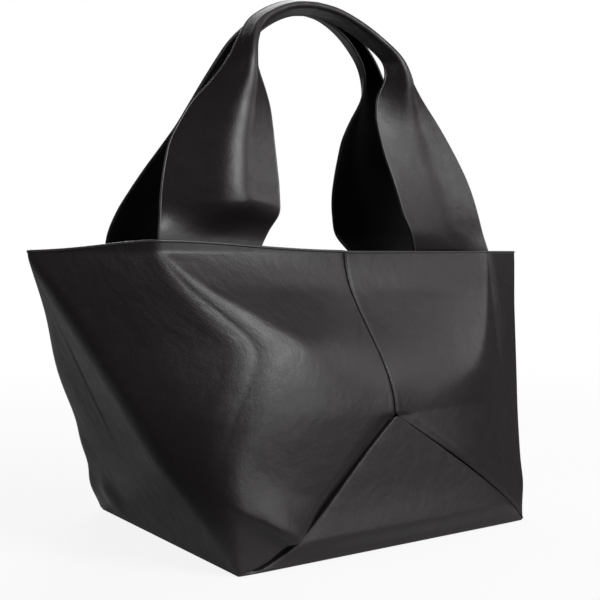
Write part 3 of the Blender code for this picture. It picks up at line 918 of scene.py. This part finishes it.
# %% [markdown]
# ## The welts in the centre seams
# Each centre seam has a welt in it, a thin cord of leather that stands a little proud between the two
# lips. It is sewn down with slanted stitches, which show as a row of tiny ticks along the lower half of
# the seam.

# %% Welts
WELT_RADIUS = 0.0014
WELT_SINK = 0.0006
WELT_STEPS = 120
WELT_SIDES = 10
WELT_MARGIN = 0.0015           # it ends this far above the triangle's tip and below the rim
STITCH_PITCH = 0.0040
STITCH_MARGINS = (0.006, 0.004)


def seam_spot(height, facing):
    """A point on the centre seam, the way up along it and the way out of the bag there."""
    depth = seam_half_depth(height)
    above = seam_half_depth(height + NEAR_RISE)
    ahead = Vector((0.0, (above - depth) * facing, NEAR_RISE)).normalized()
    return Vector((0.0, depth * facing, height)), ahead, Vector((0.0, ahead.z * facing, -ahead.y * facing))


def make_welt(word, facing):
    path = []
    for index in range(WELT_STEPS + 1):
        height = mix(APEX_HEIGHT + WELT_MARGIN, RIM_HEIGHT - WELT_MARGIN, index / WELT_STEPS)
        place, ahead, outward = seam_spot(height, facing)
        path.append(place - outward * WELT_SINK)
    welt = make_tube(word + "_seam_welt", path, WELT_RADIUS, WELT_SIDES, panel_leather)
    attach(welt, "bag")
    spots = []
    height = APEX_HEIGHT + STITCH_MARGINS[0]
    while height < RIM_HEIGHT - STITCH_MARGINS[1]:
        place, ahead, outward = seam_spot(height, facing)
        across = Vector((-facing, 0.0, 0.0))
        way = ahead * cos(STITCH_SLANT) + across * sin(STITCH_SLANT)
        spots.append((place + outward * (WELT_RADIUS - WELT_SINK), way, outward))
        height += STITCH_PITCH * ahead.z
    return welt, make_stitches(word + "_seam_stitches", spots)


for word, facing in (("front", -1), ("rear", 1)):
    for item in make_welt(word, facing):
        report(item)

# %% [markdown]
# ## Inside the rim
# A leather band, the facing, is sewn inside the rim. The ends of the handles lie between it and the wall.
# A woven tape covers each centre seam on the inside. All of them follow the wall at a set depth, so they
# are made from the same functions as the wall, moved in along its normal.

# %% Layers inside the wall
LAYER_GAP = 0.0004
HANDLE_CENTRE = 0.1440         # from the middle of the bag
HANDLE_FOOT_WIDTH = 0.101
STRAP_THICKNESS = 0.0014
LINING_THICKNESS = 0.0010


def turn_at(across, height, side, facing):
    """The column that lies a distance from the middle of the front or the rear."""
    return FRONT_SHARE * across / fold_place(height, side, facing > 0).x


def inside_wall(turn, height, side, facing, depth):
    """A point inside the wall: facing is -1 for the front of the bag and 1 for the rear."""
    turn = turn if facing < 0 else 1.0 - turn
    return wall_outside(turn, height, side) - wall_normal(turn, height, side) * depth


def facing_depth(across):
    """The facing lies behind the strap ends where they are, and close to the wall elsewhere."""
    beyond = abs(abs(across) - HANDLE_CENTRE) - HANDLE_FOOT_WIDTH / 2
    covered = 1.0 - ease(beyond / (HANDLE_FOOT_WIDTH / 4))
    return LEATHER_THICKNESS + LAYER_GAP + (STRAP_THICKNESS + LINING_THICKNESS + LAYER_GAP) * covered


print("behind a handle the facing lies", round(facing_depth(HANDLE_CENTRE) * 1000, 1), "mm deep")

# %% [markdown]
# ## The facings
# On the real bag the facing is a strip of thinner leather, turned in at the rim and stitched along its
# lower edge. One strip runs inside the front and one inside the rear. A facing is a sheet like the wall,
# laid from end to end, and its stitches are set along it one by one.

# %% Facings
FACING_HEIGHT = 0.035
FACING_LENGTH = 0.56
FACING_THICKNESS = 0.0012
FACING_DROP = 0.0012           # from the rim down to its upper edge
FACING_REACH = 0.488           # of a whole turn, how far it goes to each side of the middle
FACING_COLUMNS = 200
FACING_ROWS = 12
FACING_STITCHES = 120
FACING_STITCH_RISE = 0.003


def facing_top(turn, side, facing):
    return rim_height(turn if facing < 0 else 1.0 - turn, side) - FACING_DROP


def facing_stitches(facing):
    """The stitches along the facing's lower edge: place, way of the thread and way out."""
    spots = []
    for index in range(FACING_STITCHES):
        turn = mix(-FACING_REACH, FACING_REACH, (index + 0.5) / FACING_STITCHES)
        side, turn = (1 if turn > 0 else -1), abs(turn)
        height = facing_top(turn, side, facing) - FACING_HEIGHT + FACING_STITCH_RISE
        depth = facing_depth(wall_outside(turn, height, side).x) + FACING_THICKNESS
        spot = inside_wall(turn, height, side, facing, depth)
        ahead = inside_wall(turn + NEAR_TURN, height, side, facing, depth) - spot
        inward = inside_wall(turn, height, side, facing, depth + NEAR_RISE) - spot
        spots.append((spot, ahead, inward.normalized()))
    return spots


def make_facing(name, facing, node):
    def place(across, up):
        turn = mix(-FACING_REACH, FACING_REACH, across) * -facing
        side, turn = (1 if turn > 0 else -1), abs(turn)
        height = facing_top(turn, side, facing) - FACING_HEIGHT * (1.0 - up)
        outside = wall_outside(turn, height, side)
        return inside_wall(turn, height, side, facing, facing_depth(outside.x))
    item = make_sheet(name, FACING_COLUMNS, FACING_ROWS, (FACING_LENGTH, FACING_HEIGHT), place,
                      FACING_THICKNESS, (facing_leather, facing_leather))
    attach(item, "bag")
    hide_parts(node)
    return item, make_stitches(name + "_stitches", facing_stitches(facing))


for word, facing in (("front", -1), ("rear", 1)):
    for item in make_facing(word + "_facing", facing, word + "_rim_facing"):
        report(item)

# %% [markdown]
# ## The sewn ends of the handles
# Each leg of a handle goes on below the rim, between the wall and the facing, where it is sewn down.
# These ends never move with the handle, so they are pieces of their own.

# %% Sewn ends
STRAP_END_DEPTH = 0.028
STRAP_END_MARGIN = 0.0040      # the sewn end is this much narrower, at each edge
STRAP_END_COLUMNS = 20
STRAP_END_ROWS = 8


def make_strap_end(name, side, facing, node):
    half_width = HANDLE_FOOT_WIDTH / 2 - STRAP_END_MARGIN

    def place(across, up):
        reach = mix(-half_width, half_width, across if side * facing < 0 else 1.0 - across)
        height = mix(RIM_HEIGHT - STRAP_END_DEPTH, RIM_HEIGHT - FACING_DROP, up)
        turn = turn_at(HANDLE_CENTRE + reach, height, side, facing)
        return inside_wall(turn, height, side, facing, LEATHER_THICKNESS + LAYER_GAP / 2)
    item = make_sheet(name, STRAP_END_COLUMNS, STRAP_END_ROWS, (HANDLE_FOOT_WIDTH, STRAP_END_DEPTH), place,
                      STRAP_THICKNESS + LINING_THICKNESS, (strap_leather, lining_suede))
    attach(item, "bag")
    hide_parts(node)
    return item


for word, facing in (("front", -1), ("rear", 1)):
    for hand, side in (("left", -1), ("right", 1)):
        node = word + "_" + hand + "_strap_end"
        report(make_strap_end(word + "_" + hand + "_sewn_end", side, facing, node))

# %% [markdown]
# ## The tapes behind the seams
# A seam in leather is backed with a woven tape, so that the stitches don't tear it. The tape hangs
# straight down the middle, just clear of the turned edges of the two panels.

# %% Seam tapes
TAPE_WIDTH = 0.020
TAPE_LENGTH = 0.12
TAPE_THICKNESS = 0.0010
TAPE_COLUMNS = 16
TAPE_ROWS = 80
TAPE_FOOT_GAP = 0.008          # above the tip of the triangle


def make_tape(name, facing, node):
    foot = APEX_HEIGHT + TAPE_FOOT_GAP
    top = RIM_HEIGHT - FACING_DROP - FACING_HEIGHT - LAYER_GAP
    depth = LEATHER_THICKNESS + LIP_RADIUS + LIP_TAIL

    def place(across, up):
        reach = mix(-TAPE_WIDTH, TAPE_WIDTH, across) / 2 * -facing
        height = mix(foot, top, up)
        side = 1 if reach > 0 else -1
        point = inside_wall(turn_at(abs(reach), height, side, facing), height, side, facing, depth)
        return Vector((reach, point.y, point.z))
    item = make_sheet(name, TAPE_COLUMNS, TAPE_ROWS, (TAPE_WIDTH, TAPE_LENGTH), place, TAPE_THICKNESS,
                      (woven_tape, woven_tape))
    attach(item, "bag")
    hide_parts(node)
    return item


for word, facing in (("front", -1), ("rear", 1)):
    report(make_tape(word + "_woven_tape", facing, word + "_seam_tape"))

# %% [markdown]
# ## The board in the base
# The board is stiff, so its shape in the frame is already right, and it only needs a finish.

# %% Base board
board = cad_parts["base_board"]
board.data.materials.clear()
board.data.materials.append(board_finish)

# %% [markdown]
# ## The handles
# A handle is one long strap with a black lining. Its ends are wide and flat, and between them the strap
# folds lengthwise, so that the grip is narrow and rounded. One leg is described by a table, row by row
# from the rim to the middle of the grip: how high it is, how far out it stands, how wide it is, how far
# its fold is spread, how far it leans to the other handle, and how it is twisted and tilted. A smooth
# curve runs through the rows.

# %% Legs of the handles
HANDLE_BELLY_WIDTH = 0.115
HANDLE_GRIP_WIDTH = 0.039
HANDLE_RISE = 0.2415
HANDLE_MEETING_GAP = 0.0024
HINGE_GAP = 0.0004
PANEL_STEP = 0.0024            # from the wall's outer face in to the strap's outer face, at the rim
FRONT_LEG_SHARES = (
    # rise, place, width, spread, lean, twist and tilt
    (0.000, 1.000, None, 1.000, 0.000, 0.000, 0.0),
    (0.074, 0.962, 0.921, 0.991, 0.000, 0.110, 0.0),
    (0.156, 0.910, 0.993, 0.987, 0.030, 0.115, 0.0),
    (0.239, 0.882, 1.000, 0.980, 0.106, 0.113, 0.0),
    (0.321, 0.853, 0.980, 0.969, 0.214, 0.100, 0.0),
    (0.403, 0.816, 0.928, 0.959, 0.331, 0.090, 0.0),
    (0.486, 0.767, 0.822, 0.936, 0.412, 0.070, 0.0),
    (0.568, 0.715, 0.671, 0.900, 0.475, 0.045, 0.0),
    (0.650, 0.667, 0.434, 0.806, 0.493, 0.000, 0.0),
    (0.733, 0.639, 0.184, 0.642, 0.493, 0.000, 0.3),
    (0.815, 0.590, 0.053, 0.442, 0.610, 0.000, 0.8),
    (0.893, 0.486, 0.013, 0.370, 0.826, 0.000, 1.0),
    (0.951, 0.333, 0.000, 0.370, 0.925, 0.000, 1.0),
    (0.988, 0.167, 0.000, 0.370, 0.978, 0.000, 1.0),
    (1.000, 0.000, 0.000, 0.370, 1.000, 0.000, 1.0),
)
REAR_LEG_SHARES = (
    (0.000, 1.000, None, 1.000, 0.000, 0.000, 0.0),
    (0.074, 0.950, 1.000, 0.991, 0.000, 0.100, 0.0),
    (0.156, 0.900, 1.000, 0.988, 0.070, 0.110, 0.0),
    (0.239, 0.845, 0.961, 0.973, 0.196, 0.120, 0.0),
    (0.321, 0.794, 0.895, 0.944, 0.340, 0.120, 0.0),
    (0.403, 0.746, 0.803, 0.900, 0.484, 0.130, 0.0),
    (0.486, 0.702, 0.671, 0.856, 0.610, 0.130, 0.0),
    (0.568, 0.680, 0.513, 0.782, 0.718, 0.100, 0.0),
    (0.650, 0.668, 0.303, 0.677, 0.808, 0.070, 0.0),
    (0.733, 0.625, 0.132, 0.561, 0.871, 0.000, 0.3),
    (0.815, 0.552, 0.039, 0.452, 0.915, 0.000, 0.8),
    (0.893, 0.430, 0.013, 0.370, 0.951, 0.000, 1.0),
    (0.951, 0.295, 0.000, 0.370, 0.975, 0.000, 1.0),
    (0.988, 0.150, 0.000, 0.370, 0.990, 0.000, 1.0),
    (1.000, 0.000, 0.000, 0.370, 1.000, 0.000, 1.0),
)


def smooth_row(rows, share):
    """A row of the leg's table at a share of its length, on a smooth curve through the rows."""
    spot = clamp(share) * (len(rows) - 1)
    index = min(int(spot), len(rows) - 2)
    step = spot - index
    before, start, end = rows[max(index - 1, 0)], rows[index], rows[index + 1]
    after = rows[min(index + 2, len(rows) - 1)]
    values = []
    for a, b, c, d in zip(before, start, end, after):
        values.append(0.5 * (2 * b + (c - a) * step + (2 * a - 5 * b + 4 * c - d) * step ** 2
                             + (3 * b - a - 3 * c + d) * step ** 3))
    return values


def leg_rows(shares):
    """A leg's table in real sizes: height, place, half width, spread, edge, twist and tilt."""
    rim_face = RIM_CORNER_DEPTH / 2 - PANEL_STEP
    rows = []
    for rise, place, width, spread, lean, twist, tilt in shares:
        full = HANDLE_FOOT_WIDTH if width is None else mix(HANDLE_GRIP_WIDTH, HANDLE_BELLY_WIDTH, width)
        edge = mix(rim_face, HANDLE_MEETING_GAP / 2, lean)
        height = RIM_HEIGHT + HINGE_GAP + HANDLE_RISE * rise
        rows.append((height, HANDLE_CENTRE * place, full / 2, spread, edge, twist, tilt))
    return rows


print("a leg is described by", len(leg_rows(FRONT_LEG_SHARES)), "rows")

# %% [markdown]
# ## The bend in the front left leg
# No two legs of a real handle hang alike. The front left one stands flat against the raised rim, juts out
# above it where the strap buckles, and has a sharper crease that is turned to the left. The front right
# one is nearly flat. These few numbers and helpers are laid over the table.

# %% Bend of the left leg
RIM_TOP = RIM_HEIGHT + RIM_LIFT
FOOT_BEND = 0.0040             # how far the front left leg's inner edge juts out where it bends
FOOT_BEND_HEIGHT = 0.3010
FOOT_BEND_CLIMB = 0.0220       # the bend climbs from the inner edge to the middle of the leg
FOOT_BEND_TOP = 0.4000
FOOT_BEND_SOFTNESS = 0.22
FOOT_FLARE = 0.0030            # how much more it juts out right at the bend
FOOT_FLARE_REACH = 0.0090
FOOT_INNER_POWER = 2.5         # the higher, the more the bend keeps to the inner edge


def foot_bend(height, inward):
    """How far the front left leg juts out at its bend, from its outer edge (0) to its inner edge (1)."""
    bend = FOOT_BEND_HEIGHT + FOOT_BEND_CLIMB * min(1.0, 2.0 - 2.0 * inward) ** 2
    above = clamp((FOOT_BEND_TOP - height) / (FOOT_BEND_TOP - bend), 0.0, 2.0)
    below = max(0.0, (height - RIM_TOP) / (bend - RIM_TOP))
    slope = FOOT_BEND * max(0.0, above - soft_past(above - below, FOOT_BEND_SOFTNESS))
    flare = FOOT_FLARE * exp(-((height - bend) / FOOT_FLARE_REACH) ** 2)
    return inward ** FOOT_INNER_POWER * (slope + flare)


CREASE = 0.05                  # how much sharper the front left leg is folded lengthwise than the others
CREASE_REACHES = (0.276, 0.312, 0.420, 0.480)    # it grows from the rim to the bend, and fades at the grip
LEG_TWIST = 0.06               # and how much more it is turned to the left
LEG_NARROWING = 0.0024         # its inner edge is drawn in by twice as much
LEG_FREEING = 0.036            # above the rim, the leg stays flat against the wall for about this long
LEG_FLATNESS = 0.35            # the front right leg is folded less than the others, below the grip


def crease_share(height):
    """How strongly the front left leg is creased at this height."""
    low, full, fading, gone = CREASE_REACHES
    return ease((height - low) / (full - low)) * (1.0 - ease((height - fading) / (gone - fading)))


print("the left leg buckles", round((FOOT_BEND_HEIGHT - RIM_TOP) * 1000), "mm above the rim")

# %% [markdown]
# ## The section of a strap
# Across its width, a strap is a fold: it bends round the middle and runs straight to its two edges. How
# sharp the bend is follows from how far the edges are spread, so it is found by halving steps. The
# section is then turned, twisted and set at its place on the leg.

# %% Strap sections
FOLD_SHARE = 0.25              # of half the width, the part that bends
EDGE_ON_SHARE = 0.2            # below this, the strap is seen edge on from the front
SECTION_STEP = 0.25            # of a row, for the direction of the leg
FLAT_UNTIL = 0.45              # the share of the front right leg up to which it is flattened
FLAT_FADE = 0.25


def fold_section(half_width, spread, count):
    """Half of a strap's section, from the fold out to the edge, as (out, back) points."""
    def walk(angle):
        points = [Vector((0.0, 0.0))]
        bend = FOLD_SHARE * half_width
        place = Vector((0.0, 0.0))
        for index in range(2 * count):
            length = half_width * (index + 0.5) / (2 * count)
            heading = angle * min(1.0, length / bend)
            place = place + Vector((cos(heading), sin(heading))) * half_width / (2 * count)
            if index % 2:
                points.append(place)
        return points
    low, high = 0.0, pi / 2
    for _ in range(18):                  # halving steps
        middle = (low + high) / 2
        if walk(middle)[-1].x > half_width * spread:
            low = middle
        else:
            high = middle
    return walk((low + high) / 2)


def handle_section(rows, along, columns, facing):
    """The points across the handle's outer face at a share of its arch, outer edge first."""
    leg = 1.0 - abs(2.0 * along - 1.0)
    side = -1.0 if along < 0.5 else 1.0
    step = SECTION_STEP / len(rows)
    height, place, half_width, spread, edge, twist, tilt = smooth_row(rows, leg)
    low = smooth_row(rows, max(0.0, leg - step))
    high = smooth_row(rows, min(1.0, leg + step))
    tangent = Vector((high[1] - low[1], high[0] - low[0])).normalized()
    if leg >= 1.0:
        tangent = Vector((-1.0, 0.0))
    tangent = mix(Vector((0.0, 1.0)), tangent, tilt).normalized()
    if facing < 0 and side < 0:
        crease = crease_share(height)
        spread, half_width = spread * (1.0 - CREASE * crease), half_width / (1.0 - CREASE * crease)
        twist += LEG_TWIST * crease
        place += LEG_NARROWING * crease
        spread -= LEG_NARROWING * crease / half_width
    half = fold_section(half_width, spread, columns // 2)
    back = half[-1].y
    points = [Vector((out, behind)) for out, behind in reversed(half)]
    points += [Vector((-out, behind)) for out, behind in half[1:]]
    section = []
    for out, behind in points:
        depth_here = behind - back + twist * out
        if facing < 0 and side > 0:
            depth_here -= (behind - back) * LEG_FLATNESS * (1.0 - ease((leg - FLAT_UNTIL) / FLAT_FADE))
        if facing < 0 and side < 0:
            depth_here *= ease((height - RIM_TOP) / LEG_FREEING)
            depth_here -= foot_bend(height, clamp(0.5 - 0.5 * out / (half_width * spread)))
        depth_here -= edge
        section.append(Vector((side * (place + tangent.y * out), depth_here, height - tangent.x * out)))
    return section


def inset_section(section, depth):
    """The section moved in from its outer face, toward the inside of the fold."""
    moved = []
    middle = (section[0] + section[-1]) / 2
    for index, point in enumerate(section):
        before = section[max(index - 1, 0)]
        after = section[min(index + 1, len(section) - 1)]
        along = (after - before).normalized()
        across = Vector((0.0, 1.0, 0.0)) - along * along.y
        if across.length < EDGE_ON_SHARE:
            across = middle - point - along * (middle - point).dot(along)
        moved.append(point + across.normalized() * depth)
    return moved


print("the grip is", HANDLE_GRIP_WIDTH * 1000, "mm of strap, folded")

# %% [markdown]
# ## Strap, lining and painted edges
# The two layers of a handle are sheets that share the same sections, one behind the other. Their cut
# edges are sealed with a bead of edge paint, which is a thin tube along each edge.

# %% Handles
STRAP_ROWS = 240
STRAP_COLUMNS = 32
STRAP_SHEET = (0.10, 0.62)
EDGE_RADIUS = 0.0015
EDGE_SIDES = 10
LINING_GAP = 0.0001


def bend_with_handle(item):
    """Bakes the piece's place into its own mesh."""
    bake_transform(item)


def turn_round(point, facing):
    """A point of the front handle, or its twin on the rear handle."""
    return point if facing < 0 else Vector((point.x, -point.y, point.z))


def make_strap_layer(name, sections, depth, thickness, facing, materials):
    layers = [inset_section(section, depth) if depth > 0.0 else section for section in sections]

    def place(across, up):
        column = round(across * STRAP_COLUMNS)
        if facing > 0:
            column = STRAP_COLUMNS - column
        return turn_round(layers[round(up * STRAP_ROWS)][column], facing)
    return make_sheet(name, STRAP_COLUMNS, STRAP_ROWS, STRAP_SHEET, place, thickness, materials)


def make_handle(word, facing, shares):
    rows = leg_rows(shares)
    sections = [handle_section(rows, index / STRAP_ROWS, STRAP_COLUMNS, facing)
                for index in range(STRAP_ROWS + 1)]
    strap = make_strap_layer(word + "_strap_leather", sections, 0.0, STRAP_THICKNESS, facing,
                             (strap_leather, strap_leather))
    lining = make_strap_layer(word + "_strap_lining", sections, STRAP_THICKNESS + LINING_GAP,
                              LINING_THICKNESS, facing, (lining_suede, lining_suede))
    layers = [inset_section(section, (STRAP_THICKNESS + LINING_THICKNESS) / 2) for section in sections]
    pieces = [strap, lining]
    for edge, column in (("outer", 0), ("inner", STRAP_COLUMNS)):
        path = [turn_round(section[column], facing) for section in layers]
        name = word + "_" + edge + "_painted_edge"
        pieces.append(make_tube(name, path, EDGE_RADIUS, EDGE_SIDES, edge_paint))
    for piece in pieces:
        bend_with_handle(piece)
        report(piece)
    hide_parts(word + "_handle_strap")
    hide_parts(word + "_handle_lining")


make_handle("front", -1, FRONT_LEG_SHARES)
make_handle("rear", 1, REAR_LEG_SHARES)

# %% [markdown]
# ## The painted rim
# The rim's cut edge is painted too. It is a bead that runs right round the mouth of the bag, and just
# covers the top of the leather. It shows as a thin light line with a thin dark one under it.

# %% Rim edge
RIM_BEAD_RADIUS = 0.0014
RIM_BEAD_STEPS = 160
RIM_BEAD_SHIFT = 0.0003        # out from the middle of the leather
RIM_BEAD_DROP = 0.0004


def make_rim_bead():
    inward, drop = LEATHER_THICKNESS / 2 - RIM_BEAD_SHIFT, Vector((0.0, 0.0, RIM_BEAD_DROP))
    path = []
    for side, start, end in ((1, 0.0, 1.0), (-1, 1.0, 0.0)):
        for index in range(RIM_BEAD_STEPS):
            turn = mix(start, end, (index + 0.5) / RIM_BEAD_STEPS)
            height = rim_height(turn, side)
            path.append(wall_outside(turn, height, side) - wall_normal(turn, height, side) * inward - drop)
    item = make_tube("rim_painted_edge", path, RIM_BEAD_RADIUS, EDGE_SIDES, edge_paint, closed=True)
    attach(item, "bag")
    return item


report(make_rim_bead())

# %% [markdown]
# ## The floor
# The floor is plain and pale to the camera, and glows a little so that it fades into the white behind. To
# the leather it is something else. Before the bag its colour is painted dark, a painted shade that the
# leather mirrors as the deep shadows in its folds. Behind the bag and close round its base it is painted
# grey, and close to the base it glows a little: painted light that lifts the leather's lower edges. Light
# Path's Is Camera Ray tells the two apart.

# %% Floor
FLOOR_SIZE = 8.0
FLOOR_DROP = 0.0005                 # the floor lies just under the base
FLOOR_COLOUR = (0.80, 0.80, 0.80)
FLOOR_SHADE = 0.12                  # how much of its own shading the floor shows near the bag
FLOOR_FADE = (0.45, 1.6)            # how far from the bag that shading starts to fade, and is gone
# painted shade before the bag and painted grey light behind it, seen only by the leather
REFLECTED_SHADE_COLOUR = (0.10, 0.10, 0.10)
BOUNCE_COLOUR = (0.55, 0.55, 0.55)
BOUNCE_FADE = (-0.05, 0.35)         # from front to rear, where the painted shade turns to painted grey light
REFLECTED_SHADE_GAP = (0.02, 0.12)             # how far from the base the painted shade begins, and is full
NEAR_GLOW = 0.12                    # how brightly the floor close to the bag lights the leather
WHITE = (1.0, 1.0, 1.0)


def fade(finish, value, start, end):
    """A smooth step of a value, from 0 at the start to 1 at the end."""
    return finish.node("MapRange", {"interpolation_type": "SMOOTHSTEP"},
                       {"Value": value, "From Min": start, "From Max": end})


def make_floor_finish():
    finish = Finish("pale_floor")
    seen = finish.node("LightPath", output="Is Camera Ray")
    place = finish.node("TexCoord", output="Object")
    away = finish.node("VectorMath", {"operation": "LENGTH"}, {0: place}, output="Value")
    wide, deep = (finish.node("SeparateXYZ", None, {0: place}, output=axis) for axis in "XY")
    far = fade(finish, away, *FLOOR_FADE)
    behind = fade(finish, deep, *BOUNCE_FADE)
    beside = wide.math("ABSOLUTE", wide, 0.0) - BASE_WIDTH / 2
    before = deep.math("ABSOLUTE", deep, 0.0) - BASE_DEPTH / 2
    near = fade(finish, beside.math("MAXIMUM", beside, before), REFLECTED_SHADE_GAP[1], REFLECTED_SHADE_GAP[0])
    # painted shade before the bag, painted light behind it and close round the base, for the leather only
    bounce = finish.mix_colours(near.math("MAXIMUM", near, behind), REFLECTED_SHADE_COLOUR, BOUNCE_COLOUR)
    finish.set(base_color=finish.mix_colours(seen, bounce, FLOOR_COLOUR), roughness=0.9)
    glow = finish.node("Emission", None, {"Color": (*WHITE, 1.0), "Strength": 1.0})
    # to the leather, the floor close to the bag glows a little: a painted light
    share = seen * (1.0 - FLOOR_SHADE + far * FLOOR_SHADE) + (1.0 - seen) * near * NEAR_GLOW
    lit = finish.node("MixShader", None, {0: share, 1: Wire(finish, finish.shader.outputs[0]), 2: glow})
    finish.plug(finish.tree.nodes["Material Output"].inputs["Surface"], lit)
    return finish.owner


def make_floor():
    bm = bmesh.new()
    bmesh.ops.create_grid(bm, x_segments=1, y_segments=1, size=FLOOR_SIZE / 2)
    mesh = bpy.data.meshes.new("floor")
    bm.to_mesh(mesh)
    bm.free()
    mesh.materials.append(make_floor_finish())
    floor = bpy.data.objects.new("floor", mesh)
    floor.location.z = -FLOOR_DROP
    bpy.context.scene.collection.objects.link(floor)
    return floor


print("the", make_floor().name, "is", FLOOR_SIZE, "m wide")

# %% [markdown]
# ## The air
# The air behind the bag is white to the camera and nearly black to the leather, which mirrors the dark
# studio.

# %% Air
DARK_AIR = (0.015, 0.015, 0.015)


def make_air():
    air = Finish("studio_air", "worlds", "Background")
    seen = air.node("LightPath", output="Is Camera Ray")
    air.set(color=air.mix_colours(seen, DARK_AIR, WHITE))
    bpy.context.scene.world = air.owner


make_air()
print("the air is", bpy.context.scene.world.name)

# %% [markdown]
# ## The lights
# Black leather shows its shape by what it mirrors, so the lights are square softboxes that make broad
# highlights. The main one stands a little to the right and high up, and lights the ridges. A wide one
# before the bag, low down, fills the upright leather. Others at the sides, behind and above keep the folds
# there from going black.

# %% Lights
LIGHTS = (
    # name, turn from the front to the right, rise, distance, size, power
    ("softbox", 12.0, 43.0, 1.8, 0.80, 23.0),
    ("right_softbox", 34.0, 28.0, 1.8, 0.80, 1.5),
    ("front_fill", 20.0, 4.0, 2.4, 1.50, 21.0),
    ("right_fill", 75.0, 25.0, 2.0, 0.80, 5.0),
    ("left_fill", -100.0, 25.0, 1.8, 0.80, 4.0),
    ("rear_fill", 155.0, 35.0, 1.8, 1.00, 16.0),
    ("overhead", 120.0, 65.0, 2.0, 1.00, 3.0),
)
AIM = Vector((0.0, 0.0, 0.22))


def make_light(name, turn, rise, distance, size, power):
    """A square softbox that faces the bag; turn and rise are in degrees."""
    turn, rise = radians(turn), radians(rise)
    direction = Vector((sin(turn) * cos(rise), -cos(turn) * cos(rise), sin(rise)))
    data = bpy.data.lights.new(name, "AREA")
    data.shape = "SQUARE"
    data.size = size
    data.energy = power
    light = bpy.data.objects.new(name, data)
    bpy.context.scene.collection.objects.link(light)
    light.location = AIM + direction * distance
    light.rotation_euler = (-direction).to_track_quat("-Z", "Y").to_euler()
    return light


for light in LIGHTS:
    make_light(*light)
bpy.context.scene.view_settings.view_transform = "Standard"
print("lit by", len(LIGHTS), "softboxes")
